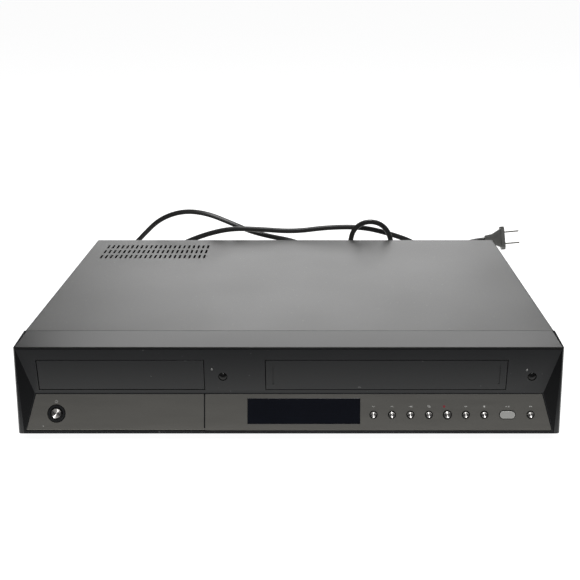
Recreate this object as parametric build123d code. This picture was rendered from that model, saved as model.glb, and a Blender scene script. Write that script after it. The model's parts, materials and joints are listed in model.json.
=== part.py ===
from build123d import *
import os
from math import acos, atan2, cos, degrees, hypot, pi, radians, sin, tan

os.makedirs("parts", exist_ok=True)

# A full-width disc and cassette player. Millimetres, X to the right, Y to the back, Z up.
# The origin is on the floor, under the middle of the player's outline.

# ---------------------------------------------------------------- driving dimensions
# Case: overall sizes, and the two slanted faces of the hollow front
width = 430.0
foot_height = 9.0
front_height = 68.0          # bottom lip to the front top edge
cover_rise = 3.8             # from the front top edge up to the flat cover
lip_reach = 7.0              # the bottom lip stands this far before the front top edge
cover_reach = 312.0          # front top edge to the back edge of the cover
jack_reach = 5.0             # the rear sockets stand this far behind the cover
trim_depth = 33.9            # front top edge to the seam of the cover
crease_drop = 37.5           # where the two front faces meet, below the top edge
crease_recess = 3.15
crease_half_width = 201.7
lip_half_width = 210.0
rim_half_width = 213.5
cover_sheet = 0.8
chassis_sheet = 1.0
bezel_wall = 2.4
sheet_gap = 0.2
small_sides = 16             # small rounds that repeat out of sight have this many flat sides
ring_sides = 24
stand_off_sides = 6
rim_radius = 3.0
cover_radius = 2.0

# Trim strip on top of the front
trim_thickness = 1.2
trim_inset = 1.8
trim_groove = 0.7

# Disc tray door and cassette door, both on the upper face
door_gap = 0.6
tray_door_left = -197.5
tray_door_width = 130.5
tray_door_thickness = 2.6
door_base = 3.4              # above the crease, along the face
door_height = 25.4
cassette_door_left = -18.1
cassette_door_width = 189.4
cassette_door_thickness = 2.4
door_pin_radius = 1.2
door_pin_height = 32.6       # above the crease, along the face
door_pin_depth = 4.0

# Lower face: the fold-down flap on the left and the control panel on the right
panel_thickness = 2.0
panel_backing = 2.0
panel_top = 0.9              # below the crease, along the face
panel_bottom = 29.6
panel_margin = 1.1
panel_gap = 0.4
flap_split = -67.1
flap_thickness = 1.7
flap_pin_radius = 0.6
pin_reach = 1.6
pin_fit = 0.05
window_left = -33.1
window_width = 89.6
window_top = 4.2
window_height = 20.5
window_fit = 0.1

# Buttons
button_row = 17.3            # below the crease, along the face
first_button_x = 67.0
button_pitch = 14.65
round_buttons = 7
wide_pitch = 18.35
small_button_radius = 2.85
record_button_radius = 3.3
play_button_width = 12.6
play_button_height = 6.2
button_gap = 0.35
button_travel = 0.8
button_proud = 0.6
dish_depth = 1.0
flange_reach = 1.0
flange_thickness = 1.0
stem_radius = 1.5
rest_gap = 0.2
power_button_x = -184.6
power_button_row = 16.3
power_button_radius = 4.7
power_collar_radius = 6.6
collar_clearance = 0.7
upper_button_radius = 3.2
upper_button_height = 14.6   # above the crease, along the face
open_button_x = -52.0
eject_button_x = 191.6

# Boards and switches behind the front
board_thickness = 1.6
control_board_depth = 12.5   # behind the lower face
control_board_half_width = 198.0
control_board_top = 1.0
control_board_bottom = 24.0
switch_size = 6.0
switch_body = 3.5
plunger_radius = 1.7
plunger_height = 1.5
front_jack_x = -137.0
front_jack_pitch = 18.0
front_jack_row = 15.5
jack_radius = 4.15
jack_bore = 1.65
jack_body = 9.0

# Disc drive
tray_width = 125.0
tray_length = 166.0
tray_thickness = 5.0
tray_floor = 52.0            # above the floor
tray_travel = 135.0
tray_runner = 2.4
disc_well_radius = 60.6
small_well_radius = 41.0
well_depth = 1.6
disc_centre_reach = 71.0     # behind the front top edge
tray_slot = 41.0
loader_wall = 2.0
loader_length = 182.0
loader_floor = 40.0
loader_height = 24.0
gear_module = 1.25
gear_teeth = 16
gear_backlash = 0.2
gear_thickness = 4.5
gear_reach = 30.0            # pinion axis behind the front top edge
spare_teeth = 6              # of the rack, beyond the travel
tray_motor_radius = 9.5
tray_motor_height = 20.0
turntable_radius = 15.0
spindle_motor_radius = 13.0
shaft_fit = 0.05
sled_travel = 30.0
sled_length = 24.0
rail_radius = 1.5
rail_spacing = 40.0
clamp_radius = 16.0
clamp_hub_radius = 8.0

# Cassette mechanism
deck_level = 24.0
deck_sheet = 1.2
deck_half_width = 101.0
deck_front = 42.0            # behind the front top edge
deck_length = 193.0
cassette_width = 190.6
cassette_depth = 103.0
cassette_height = 26.0
holder_reach = 34.5          # behind the front top edge
holder_level = 43.0
holder_sheet = 0.8
holder_travel = 15.0
reel_spacing = 92.0
reel_reach = 91.0
reel_radius = 19.0
spindle_height = 16.0
drum_radius = 31.0
drum_tilt = 5.5
drum_reach = 177.0
drum_gap = 0.4
drum_base_height = 14.0
drum_rotor_height = 13.0
guide_radius = 2.6
guide_height = 20.0
head_width = 12.0            # the two fixed heads
head_depth = 10.0
head_height = 22.0
capstan_aside = 45.0         # from the axis of the drum
capstan_ahead = 30.0
capstan_height = 26.0
capstan_radius = 2.5
flywheel_radius = 19.0
roller_radius = 6.5
pinch_arm_length = 20.0
pinch_swing = 28.0
pinch_post_aside = 22.0      # from the capstan
pinch_post_behind = 14.0

# Electronics
standoff_height = 6.0
standoff_radius = 3.0
supply_board_width = 112.0
supply_board_depth = 84.0
main_board_left = -70.0
main_board_margin = 16.0     # to the side of the pan
main_board_depth = 62.0
large_capacitor_radius = 9.0
large_capacitor_height = 30.0
small_capacitor_radius = 5.0
small_capacitor_height = 20.0
heat_sink_height = 30.0
heat_sink_length = 40.0
fin_length = 14.0
transformer_size = 30.0
fin_count = 7
tuner_width = 52.0
tuner_depth = 42.0
tuner_height = 28.0
aerial_radius = 4.7
aerial_collar_radius = 6.0
aerial_collar_reach = 0.8    # behind the back panel
rear_jack_columns = 3
rear_jack_rows = 3
rear_jack_pitch = 17.0
rear_jack_x = -44.0
rear_jack_level = 26.0

# Vents in the cover, feet and screws
vent_left = -197.2
vent_columns = 22
vent_pitch = 5.01
vent_rows = 3
vent_row_pitch = 18.35
vent_first_row = 248.2       # behind the front top edge
vent_length = 12.0
vent_width = 2.0
foot_radius = 13.0
foot_inset_x = 40.0
front_foot_reach = 48.0
rear_foot_reach = 282.0
screw_head_radius = 3.4
screw_head = 1.6
screw_radius = 1.5
screw_length = 5.0
rear_screw_inset = 65.0      # from the side of the case
rear_screw_drop = 20.8       # below the top of the cover

# Mains lead: a tube as thick as the flat twin lead is wide
cord_diameter = 4.8
cord_sides = 8
boot_x_inset = 13.0          # from the side of the case
boot_level = 36.0
boot_length = 22.0
boot_neck_radius = 5.0
boot_flange_radius = 7.0
boot_flange = 2.0
boot_tip_radius = 3.5
boot_bore_radius = 2.5
plug_width = 25.5
plug_thickness = 14.0
plug_length = 21.0
plug_roll = -16.0
blade_width = 6.35
blade_thickness = 1.5
blade_length = 16.0
blade_spacing = 12.7
blade_hole_radius = 1.6

# ---------------------------------------------------------------- places worked out from them
depth = lip_reach + cover_reach + jack_reach
y_lip = -depth / 2
y_edge = y_lip + lip_reach
y_seam = y_edge + trim_depth
y_back = y_edge + cover_reach
y_sockets = y_back + jack_reach
y_crease = y_edge + crease_recess
z_bottom = foot_height
z_edge = foot_height + front_height
z_crease = z_edge - crease_drop
z_top = z_edge + cover_rise
half = width / 2
inner_half = half - cover_sheet - sheet_gap
z_pan = z_bottom + chassis_sheet
panel_recess = 4.0
y_panel = y_back - panel_recess
panel_face = y_panel - chassis_sheet
upper_tilt = atan2(crease_recess, crease_drop)
lower_tilt = atan2(crease_recess + lip_reach, front_height - crease_drop)
upper_face = Plane((0, y_crease, z_crease), x_dir=(1, 0, 0), z_dir=(0, -cos(upper_tilt), -sin(upper_tilt)))
lower_face = Plane((0, y_crease, z_crease), x_dir=(1, 0, 0), z_dir=(0, -cos(lower_tilt), sin(lower_tilt)))
tray_x = tray_door_left + tray_door_width / 2
cassette_x = cassette_door_left + cassette_door_width / 2
y_disc = y_edge + disc_centre_reach

pieces = {}


# ---------------------------------------------------------------- helpers
def block(x, y, z):
    """A box between two limits along each axis."""
    size = [high - low for low, high in (x, y, z)]
    middle = [(low + high) / 2 for low, high in (x, y, z)]
    return Pos(*middle) * Box(*size)


def bar(radius, length, sides=0):
    """A round bar about Z, or one with flat sides."""
    if not sides:
        return Cylinder(radius, length)
    return extrude(RegularPolygon(radius, sides), amount=length / 2, both=True)


def post(x, y, low, high, radius, sides=0):
    """An upright bar between two heights."""
    return Pos(x, y, (low + high) / 2) * bar(radius, high - low, sides)


def lengthwise(x, z, front, back, radius, sides=0):
    """A bar along Y between two places."""
    return Pos(x, (front + back) / 2, z) * Rot(90, 0, 0) * bar(radius, back - front, sides)


def across(y, z, left, right, radius, sides=0):
    """A bar along X between two places."""
    return Pos((left + right) / 2, y, z) * Rot(0, 90, 0) * bar(radius, right - left, sides)


def side_profile(points, half_width, middle=0.0):
    """One outline in the Y-Z plane, carried half_width to both sides of the middle."""
    outline = Plane.YZ * Polygon(*points, align=None)
    return Pos(middle, 0, 0) * extrude(outline, amount=half_width, both=True)


def plate_on(face, points, front, back):
    """A plate of one outline square to a slanted face, between two depths behind it."""
    outline = face.offset(-front) * Polygon(*points, align=None)
    return extrude(outline, amount=back - front, dir=-face.z_dir)


def box_on(face, x, v, front, back):
    """A rectangular solid on a slanted face: x and v are limits along it, then two depths."""
    middle = ((x[0] + x[1]) / 2, (v[0] + v[1]) / 2, -(front + back) / 2)
    return face * Pos(*middle) * Box(x[1] - x[0], v[1] - v[0], back - front)


def round_on(face, x, v, front, back, radius, sides=0):
    """A round solid on a slanted face, between two depths behind it."""
    return face * Pos(x, v, -(front + back) / 2) * bar(radius, back - front, sides)


def turned_on(face, x, v, profile):
    """A solid turned about an axis square to a slanted face, from (radius, depth) points."""
    outline = Plane.XZ * Polygon(*[(radius, -deep) for radius, deep in profile], align=None)
    return face * Pos(x, v, 0) * revolve(outline, axis=Axis.Z)


def trim_line(y):
    """Height of the sloping top of the front at a place between the front edge and the seam."""
    return z_edge + (y - y_edge) * cover_rise / trim_depth


def face_y(face, v, deep=0.0):
    """Y of a point on a slanted face, v along it and some way behind it."""
    return (face * Pos(0, v, -deep)).position.Y


def face_z(face, v, deep=0.0):
    """Z of the same point."""
    return (face * Pos(0, v, -deep)).position.Z


# ---------------------------------------------------------------- chassis pan, feet and cover
pan_flange = 14.0
front_flange = 8.0
rear_flange = 5.0
pan = block((-inner_half, inner_half), (y_seam, panel_face), (z_bottom, z_pan))
for side in (-1, 1):
    flange_x = sorted((side * inner_half, side * (inner_half - chassis_sheet)))
    pan += block(flange_x, (y_seam, panel_face), (z_bottom, z_pan + pan_flange))
pan += block(
    (-inner_half, inner_half), (y_seam, y_seam + chassis_sheet), (z_bottom, z_pan + front_flange)
)
pan += block(
    (-inner_half, inner_half), (panel_face - chassis_sheet, panel_face), (z_bottom, z_pan + rear_flange)
)

supply_left = -inner_half + 10.0
supply_front = panel_face - 8.0 - supply_board_depth
main_left = main_board_left
main_board_width = inner_half - main_board_margin - main_left
main_front = panel_face - 6.0 - main_board_depth
z_board = z_pan + standoff_height
standoff_inset = 6.0


def board_corners(left, front, board_width, board_depth):
    """Where the four stand-offs of a board stand."""
    xs = (left + standoff_inset, left + board_width - standoff_inset)
    ys = (front + standoff_inset, front + board_depth - standoff_inset)
    return [(x, y) for x in xs for y in ys]


for x, y in board_corners(supply_left, supply_front, supply_board_width, supply_board_depth):
    pan += post(x, y, z_pan, z_board, standoff_radius, stand_off_sides)
for x, y in board_corners(main_left, main_front, main_board_width, main_board_depth):
    pan += post(x, y, z_pan, z_board, standoff_radius, stand_off_sides)
foot_places = [
    (side * (half - foot_inset_x), y_edge + reach)
    for side in (-1, 1)
    for reach in (front_foot_reach, rear_foot_reach)
]
for x, y in foot_places:
    pan -= post(x, y, z_bottom, z_pan, screw_radius + sheet_gap, small_sides)
side_screws = [(side, y) for side in (-1, 1) for y in (y_seam + 18.0, y_back - 22.0)]
z_side_screw = z_pan + pan_flange / 2 + 1.0
for side, y in side_screws:
    hole_x = sorted((side * (half - 4), side * half))
    pan -= across(y, z_side_screw, *hole_x, screw_radius + sheet_gap, small_sides)
pieces["base_chassis"] = pan

foot_sides = 24
foot_taper = 3.0
foot = post(0, 0, foot_taper, foot_height, foot_radius, foot_sides)
foot += loft(
    [
        RegularPolygon(foot_radius - 2.0, foot_sides),
        Pos(0, 0, foot_taper) * RegularPolygon(foot_radius, foot_sides),
    ]
)
foot += post(0, 0, foot_height, z_pan + 1.5, screw_radius, small_sides)
feet = Part()
for x, y in foot_places:
    feet += Pos(x, y, 0) * foot
pieces["feet"] = feet

cover_foot = z_bottom + 0.4
cover = block((-half, half), (y_seam, y_back), (cover_foot, z_top))
cover = fillet(cover.edges().filter_by(Axis.Y).group_by(Axis.Z)[-1], cover_radius)
hollow = block(
    (-half + cover_sheet, half - cover_sheet), (y_seam - 1, y_back + 1), (z_bottom - 1, z_top - cover_sheet)
)
hollow = fillet(hollow.edges().filter_by(Axis.Y).group_by(Axis.Z)[-1], cover_radius - cover_sheet)
cover -= hollow
vents = Part()
for row in range(vent_rows):
    y_vent = y_edge + vent_first_row + row * vent_row_pitch
    for column in range(vent_columns):
        x_vent = vent_left + column * vent_pitch
        vents += Pos(x_vent, y_vent, z_top) * Box(vent_width, vent_length, 4 * cover_sheet)
cover -= vents
for side, y in side_screws:
    hole_x = sorted((side * (half - 2), side * (half + 2)))
    cover -= across(y, z_side_screw, *hole_x, screw_radius + sheet_gap, small_sides)
pieces["top_cover"] = cover

# ---------------------------------------------------------------- front bezel
rim_profile = [(y_edge, z_edge), (y_seam, z_top), (y_seam, z_bottom), (y_lip, z_bottom)]
bezel = side_profile(rim_profile, half)
front_edges = bezel.edges().filter_by(lambda e: abs(e.center().X) > half - 0.1)
front_edges = front_edges.filter_by(lambda e: e.center().Y < y_edge + 0.1)
bezel = fillet(front_edges, rim_radius)

# The hollow front: an upper and a lower face that meet in a crease, and a slanted facet at
# each end. The wedge runs on before the rim, so that it cuts cleanly.
before = 8.0
corners = []
for side in (-1, 1):
    corners += [
        (side * rim_half_width, y_edge, z_edge),
        (side * rim_half_width, y_edge - before, z_edge),
        (side * crease_half_width, y_crease, z_crease),
        (side * lip_half_width, y_lip, z_bottom),
        (side * rim_half_width, y_lip - before, z_bottom),
    ]
bezel -= ConvexPolyhedron(corners)

# Hollow behind the front wall
upper_wall = bezel_wall / cos(upper_tilt)
lower_wall = (panel_thickness + panel_backing) / cos(lower_tilt)
z_in_bottom = z_bottom + bezel_wall
roof = trim_thickness + bezel_wall
inner_profile = [
    (y_edge + upper_wall, z_edge - roof),
    (y_crease + upper_wall, z_crease + 1.0),
    (y_crease + lower_wall, z_crease - 1.0),
    (y_lip + lower_wall, z_in_bottom),
    (y_seam + 1, z_in_bottom),
    (y_seam + 1, z_top - roof),
]
bezel -= side_profile(inner_profile, crease_half_width - 1.0)
wide_front = y_crease + 3.5
wide_profile = [
    (wide_front, z_edge - roof),
    (wide_front, z_in_bottom),
    (y_seam + 1, z_in_bottom),
    (y_seam + 1, z_top - roof),
]
bezel -= side_profile(wide_profile, half - bezel_wall)

# Seat of the trim strip, with the dark groove below its front edge
trim_profile = [
    (y_edge - 1, trim_line(y_edge - 1) + 1),
    (y_edge - 1, trim_line(y_edge - 1) - trim_thickness),
    (y_seam + 1, trim_line(y_seam + 1) - trim_thickness),
    (y_seam + 1, trim_line(y_seam + 1) + 1),
]
bezel -= side_profile(trim_profile, half - trim_inset)
groove_depth = 1.2
bezel -= block(
    (-rim_half_width, rim_half_width),
    (y_edge - 1, y_edge + groove_depth),
    (z_edge - trim_thickness - trim_groove, z_edge),
)

# Door openings
tray_door_x = (tray_door_left, tray_door_left + tray_door_width)
cassette_door_x = (cassette_door_left, cassette_door_left + cassette_door_width)
door_v = (door_base, door_base + door_height)
through = 12.0
for door_x in (tray_door_x, cassette_door_x):
    bezel -= box_on(
        upper_face,
        (door_x[0] - door_gap, door_x[1] + door_gap),
        (door_v[0] - door_gap, door_v[1] + door_gap),
        -1,
        through,
    )


# Pocket of the flap and the control panel on the lower face
def panel_edge(side, v):
    """X of the slanted end of the lower panels at a place along the face."""
    share = -v / hypot(front_height - crease_drop, crease_recess + lip_reach)
    return side * (crease_half_width + share * (lip_half_width - crease_half_width) - panel_margin)


def panel_outline(left, right, grow=0.0):
    """Corners of a lower panel. A side given as None is the slanted end of the face."""
    top = -panel_top + grow
    bottom = -panel_bottom - grow
    left_top = panel_edge(-1, top) - grow if left is None else left - grow
    left_bottom = panel_edge(-1, bottom) - grow if left is None else left - grow
    right_top = panel_edge(1, top) + grow if right is None else right + grow
    right_bottom = panel_edge(1, bottom) + grow if right is None else right + grow
    return [(left_top, top), (left_bottom, bottom), (right_bottom, bottom), (right_top, top)]


split = panel_gap / 2
bezel -= plate_on(lower_face, panel_outline(None, None, panel_gap), -2, panel_thickness)

# Behind the flap: a recess for the front sockets, and the collar of the power button
front_jacks = [front_jack_x + index * front_jack_pitch for index in range(3)]
recess_x = (front_jacks[0] - 11.0, front_jacks[-1] + 11.0)
recess_v = (-front_jack_row - 7.5, -front_jack_row + 7.5)
bezel -= box_on(lower_face, recess_x, recess_v, 0, through)
power_v = -power_button_row
bezel += round_on(lower_face, power_button_x, power_v, 0.1, panel_thickness + 0.5, power_collar_radius)
bezel -= round_on(lower_face, power_button_x, power_v, -1, through, power_button_radius + button_gap)

# Window in the backing wall before the display tube
window_x = (window_left, window_left + window_width)
window_v = (-window_top - window_height, -window_top)
window_ledge = 2.0
bezel -= box_on(
    lower_face,
    (window_x[0] + window_ledge, window_x[1] - window_ledge),
    (window_v[0] + window_ledge, window_v[1] - window_ledge),
    0,
    through,
)

# Holes for the flanges of the lower buttons
row_v = -button_row
round_xs = [first_button_x + index * button_pitch for index in range(round_buttons)]
play_x = round_xs[-1] + wide_pitch
forward_x = play_x + wide_pitch
flange_gap = 0.4
small_names = [
    "channel_down_button",
    "channel_up_button",
    "source_button",
    "copy_button",
    "record_button",
    "rewind_button",
    "stop_button",
]
round_row = dict(zip(small_names, round_xs))
round_row["forward_button"] = forward_x
button_radius = {name: small_button_radius for name in round_row}
button_radius["record_button"] = record_button_radius
for name, x in round_row.items():
    flange_hole = button_radius[name] + flange_reach + flange_gap
    bezel -= round_on(lower_face, x, row_v, 0, through, flange_hole, small_sides)
play_half_width = play_button_width / 2 + flange_reach + flange_gap
play_half_height = play_button_height / 2 + flange_reach + flange_gap
bezel -= box_on(
    lower_face,
    (play_x - play_half_width, play_x + play_half_width),
    (row_v - play_half_height, row_v + play_half_height),
    0,
    through,
)

# Holes of the two buttons on the upper face, and the posts that carry the boards
upper_buttons = {"open_close_button": open_button_x, "eject_button": eject_button_x}
upper_board_depth = 10.4
post_radius = 1.8
for x in upper_buttons.values():
    bezel -= round_on(upper_face, x, upper_button_height, -1, through, upper_button_radius + button_gap)
    for v in (upper_button_height - 7.5, upper_button_height + 7.5):
        bezel += round_on(upper_face, x, v, bezel_wall / 2, upper_board_depth, post_radius, small_sides)
board_posts = (-165.0, -61.0, 61.5, 190.0)
post_v = -6.5
for x in board_posts:
    bezel += round_on(
        lower_face, x, post_v, panel_thickness + 1, control_board_depth, post_radius, small_sides
    )

# Ears for the pins of the flap and of the cassette door
flap_pin_deep = flap_thickness / 2
flap_pin_v = -panel_bottom + flap_pin_deep
flap_pin_y = face_y(lower_face, flap_pin_v, flap_pin_deep)
flap_pin_z = face_z(lower_face, flap_pin_v, flap_pin_deep)
flap_left_pin = panel_edge(-1, flap_pin_v)
bezel -= across(
    flap_pin_y, flap_pin_z, flap_left_pin - pin_reach - 0.3, flap_left_pin + 6, flap_pin_radius + pin_fit
)
door_pin_y = face_y(upper_face, door_pin_height, door_pin_depth)
door_pin_z = face_z(upper_face, door_pin_height, door_pin_depth)
ear_thickness = 2.0
for side in (-1, 1):
    edge_x = cassette_x + side * (cassette_door_width / 2 + door_gap)
    ear_x = sorted((edge_x + side * 0.2, edge_x + side * (0.2 + ear_thickness)))
    ear_v = (door_pin_height - 2.8, door_pin_height + 3.0)
    bezel += box_on(upper_face, ear_x, ear_v, 1.0, door_pin_depth + 2.8)
bezel -= across(
    door_pin_y,
    door_pin_z,
    cassette_door_x[0] - door_gap - 3,
    cassette_door_x[1] + door_gap + 3,
    door_pin_radius + pin_fit,
)
pieces["front_bezel"] = bezel

trim_front = y_edge - 0.4
trim_back = y_seam - sheet_gap
trim = side_profile(
    [
        (trim_front, trim_line(trim_front)),
        (trim_front, trim_line(trim_front) - trim_thickness),
        (trim_back, trim_line(trim_back) - trim_thickness),
        (trim_back, trim_line(trim_back)),
    ],
    half - trim_inset - 0.1,
)
trim = fillet(trim.edges().filter_by(Axis.X).sort_by(Axis.Y)[:2].sort_by(Axis.Z)[-1], 0.8)
pieces["front_top_trim"] = trim

# ---------------------------------------------------------------- control panel and window
control_panel = plate_on(lower_face, panel_outline(flap_split + split, None), 0, panel_thickness)
for name, x in round_row.items():
    button_hole = button_radius[name] + button_gap
    control_panel -= round_on(lower_face, x, row_v, -1, panel_thickness + 1, button_hole)
play_hole = SlotOverall(play_button_width + 2 * button_gap, play_button_height + 2 * button_gap)
control_panel -= lower_face * Pos(play_x, row_v, -panel_thickness / 2) * extrude(
    play_hole, amount=panel_thickness, both=True
)
control_panel -= box_on(lower_face, window_x, window_v, -1, panel_thickness + 1)
panel_end_pin = flap_split + split
control_panel -= across(
    flap_pin_y, flap_pin_z, panel_end_pin - 1, panel_end_pin + pin_reach + 0.3, flap_pin_radius + pin_fit
)
pieces["control_panel"] = control_panel

pieces["display_window"] = box_on(
    lower_face,
    (window_x[0] + window_fit, window_x[1] - window_fit),
    (window_v[0] + window_fit, window_v[1] - window_fit),
    0.1,
    panel_thickness,
)
tube_front = panel_thickness + panel_backing + 0.8
pieces["display_tube"] = box_on(
    lower_face,
    (window_x[0] + 6.0, window_x[1] - 6.0),
    (window_v[0] + 2.5, window_v[1] - 2.5),
    tube_front,
    control_board_depth,
)

# ---------------------------------------------------------------- fold-down flap
# The flap turns about the round of its own bottom edge.
flap = plate_on(lower_face, panel_outline(None, flap_split - split), 0, flap_thickness)
flap -= box_on(lower_face, (-half, flap_split), (-half, flap_pin_v), -1, panel_thickness)
flap += across(flap_pin_y, flap_pin_z, flap_left_pin, flap_split - split, flap_pin_deep)
flap -= round_on(
    lower_face, power_button_x, power_v, -1, panel_thickness + 1, power_collar_radius + collar_clearance
)
flap += across(
    flap_pin_y, flap_pin_z, flap_left_pin - pin_reach, panel_end_pin + pin_reach, flap_pin_radius
)
pieces["av_flap"] = flap


# ---------------------------------------------------------------- buttons
stem_end = control_board_depth - switch_body - plunger_height - button_travel - rest_gap


def keyed(face, x, v, cap, radius, flange_at, stem_end):
    """A round key: its turned cap, a flange behind the panel and a stem."""
    stem_start = flange_at + flange_thickness
    key = turned_on(face, x, v, [*cap, (radius, flange_at), (0, flange_at)])
    key += round_on(face, x, v, flange_at, stem_start, radius + flange_reach, small_sides)
    return key + round_on(face, x, v, stem_start, stem_end, stem_radius, small_sides)


def dished_button(x, v, radius, flange_at):
    """A round key with a hollow cone in its face."""
    cap = [(0, dish_depth - button_proud), (radius, -button_proud)]
    return keyed(lower_face, x, v, cap, radius, flange_at, stem_end)


flange_at = panel_thickness + 0.15
for name, x in round_row.items():
    pieces[name] = dished_button(x, row_v, button_radius[name], flange_at)
pieces["power_button"] = dished_button(
    power_button_x, power_v, power_button_radius, panel_thickness + panel_backing + 0.15
)

play_cap = extrude(SlotOverall(play_button_width, play_button_height), amount=flange_at + button_proud)
play_cap = chamfer(play_cap.faces().sort_by(Axis.Z)[-1].edges(), 0.4)
play_flange = Box(
    play_button_width + 2 * flange_reach, play_button_height + 2 * flange_reach, flange_thickness
)
play_button = Pos(0, 0, -flange_at) * play_cap
play_button += Pos(0, 0, -flange_at - flange_thickness / 2) * play_flange
play_stem = stem_end - flange_at - flange_thickness
play_button += Pos(0, 0, -stem_end + play_stem / 2) * bar(stem_radius, play_stem, small_sides)
pieces["play_button"] = lower_face * Pos(play_x, row_v, 0) * play_button

upper_flange_at = bezel_wall + 0.15
upper_stem_end = upper_board_depth - switch_body - plunger_height - button_travel - rest_gap
for name, x in upper_buttons.items():
    dome = [(0, -1.0), (2.0, -0.65), (upper_button_radius, 0.4)]
    pieces[name] = keyed(
        upper_face, x, upper_button_height, dome, upper_button_radius, upper_flange_at, upper_stem_end
    )


# ---------------------------------------------------------------- boards behind the front
def switch_on(face, x, v, board_depth):
    """A press switch on a board that lies some way behind a slanted face."""
    near = board_depth - switch_body
    body = box_on(
        face,
        (x - switch_size / 2, x + switch_size / 2),
        (v - switch_size / 2, v + switch_size / 2),
        near,
        board_depth,
    )
    return body + round_on(face, x, v, near - plunger_height, near, plunger_radius, small_sides)


control_board = box_on(
    lower_face,
    (-control_board_half_width, control_board_half_width),
    (-control_board_bottom, -control_board_top),
    control_board_depth,
    control_board_depth + board_thickness,
)
for x in [*round_row.values(), play_x]:
    control_board += switch_on(lower_face, x, row_v, control_board_depth)
control_board += switch_on(lower_face, power_button_x, power_v, control_board_depth)
pieces["front_control_board"] = control_board

upper_boards = Part()
for x in upper_buttons.values():
    upper_boards += box_on(
        upper_face,
        (x - 9.0, x + 9.0),
        (upper_button_height - 10.0, upper_button_height + 10.0),
        upper_board_depth,
        upper_board_depth + board_thickness,
    )
    upper_boards += switch_on(upper_face, x, upper_button_height, upper_board_depth)
pieces["upper_switch_boards"] = upper_boards

front_sockets = Part()
jack_tip = control_board_depth - jack_body
for x in front_jacks:
    socket = box_on(
        lower_face,
        (x - 5.0, x + 5.0),
        (-front_jack_row - 5.0, -front_jack_row + 5.0),
        jack_tip + 5.5,
        control_board_depth,
    )
    socket += round_on(lower_face, x, -front_jack_row, jack_tip, jack_tip + 6, jack_radius, ring_sides)
    socket -= round_on(lower_face, x, -front_jack_row, jack_tip - 1, jack_tip + 7, jack_bore, small_sides)
    front_sockets += socket
pieces["front_av_jacks"] = front_sockets

# ---------------------------------------------------------------- cassette door
door = box_on(upper_face, cassette_door_x, door_v, 0, cassette_door_thickness)
arm_thickness = 1.6
arm_front = door_pin_depth - door_pin_radius
arm_back = door_pin_depth + door_pin_radius
for side in (-1, 1):
    edge_x = cassette_x + side * cassette_door_width / 2
    arm_x = sorted((edge_x, edge_x - side * arm_thickness))
    door += box_on(upper_face, arm_x, (door_v[1] - 4.0, door_pin_height), arm_front, arm_back)
    door += across(door_pin_y, door_pin_z, *arm_x, door_pin_radius)
    door += box_on(upper_face, arm_x, (door_v[1] - 4.0, door_v[1] - 1.0), 1.0, arm_back)
    pin_x = sorted((edge_x - side * 0.5, edge_x + side * (door_gap + 1.6)))
    door += across(door_pin_y, door_pin_z, pin_x[0], pin_x[1], door_pin_radius)
grip_inset = 5.6
grip_width = 1.2
for side in (-1, 1):
    grip_x = cassette_x + side * (cassette_door_width / 2 - grip_inset)
    door -= box_on(
        upper_face,
        (grip_x - grip_width / 2, grip_x + grip_width / 2),
        (door_v[0] + 4.5, door_v[1] - 4.5),
        -1,
        0.6,
    )
pieces["cassette_door"] = door

# ---------------------------------------------------------------- disc tray
tray_front = y_edge + 5.2
tray_x_limits = (tray_x - tray_width / 2, tray_x + tray_width / 2)
tray_back = tray_front + tray_length
z_tray_top = tray_floor + tray_thickness
tray = block(tray_x_limits, (tray_front, tray_back), (tray_floor, z_tray_top))
tray -= post(tray_x, y_disc, z_tray_top - well_depth, z_tray_top + 1, disc_well_radius)
tray -= post(tray_x, y_disc, z_tray_top - 2 * well_depth, z_tray_top, small_well_radius)
tray -= post(tray_x, y_disc, tray_floor - 1, z_tray_top, tray_slot / 2)
slot_x = (tray_x - tray_slot / 2, tray_x + tray_slot / 2)
tray -= block(slot_x, (y_disc, tray_back + 1), (tray_floor - 1, z_tray_top + 1))
runner_gap = 0.2
for side in (-1, 1):
    edge = tray_x + side * tray_width / 2
    runner_x = sorted((edge - side * 0.5, edge + side * tray_runner))
    tray += block(runner_x, (tray_front + 6, tray_back), (tray_floor, tray_floor + 2.4))

gear_radius = gear_module * gear_teeth / 2
tooth_pitch = pi * gear_module
rack_teeth = int(tray_travel / tooth_pitch) + spare_teeth
addendum = 0.9 * gear_module
dedendum = 1.15 * gear_module
pressure = radians(20)
gear_x = tray_x - 40.0
gear_y = y_edge + gear_reach
rack_line = gear_x - gear_radius
rack_low = tray_floor - gear_thickness
tooth_width = tooth_pitch / 2 - gear_backlash
rack_back = rack_line - dedendum - 3.0
rack_end = gear_y + (rack_teeth - 1.5) * tooth_pitch
rack = block(
    (rack_back, rack_line - dedendum), (gear_y - 1.5 * tooth_pitch, rack_end), (rack_low, tray_floor)
)
root_half = tooth_width / 2 + dedendum * tan(pressure)
tip_half = tooth_width / 2 - addendum * tan(pressure)
for index in range(rack_teeth):
    y_tooth = gear_y + (index - 0.5) * tooth_pitch
    tooth = Polygon(
        (rack_line - dedendum - 0.2, y_tooth - root_half),
        (rack_line + addendum, y_tooth - tip_half),
        (rack_line + addendum, y_tooth + tip_half),
        (rack_line - dedendum - 0.2, y_tooth + root_half),
        align=None,
    )
    if y_tooth + root_half < rack_end:
        rack += Pos(0, 0, rack_low) * extrude(tooth, amount=gear_thickness)
tray += rack
pieces["disc_tray"] = tray

tray_door = box_on(upper_face, tray_door_x, door_v, 0, tray_door_thickness)
tray_door += block(
    (tray_x - tray_width / 2 + 4, tray_x + tray_width / 2 - 4),
    (face_y(upper_face, 15, tray_door_thickness) - 0.8, tray_front),
    (tray_floor, z_tray_top - 0.5),
)
pieces["disc_tray_door"] = tray_door


# ---------------------------------------------------------------- tray pinion
def involute(angle):
    """The involute of a pressure angle."""
    return tan(angle) - angle


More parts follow.
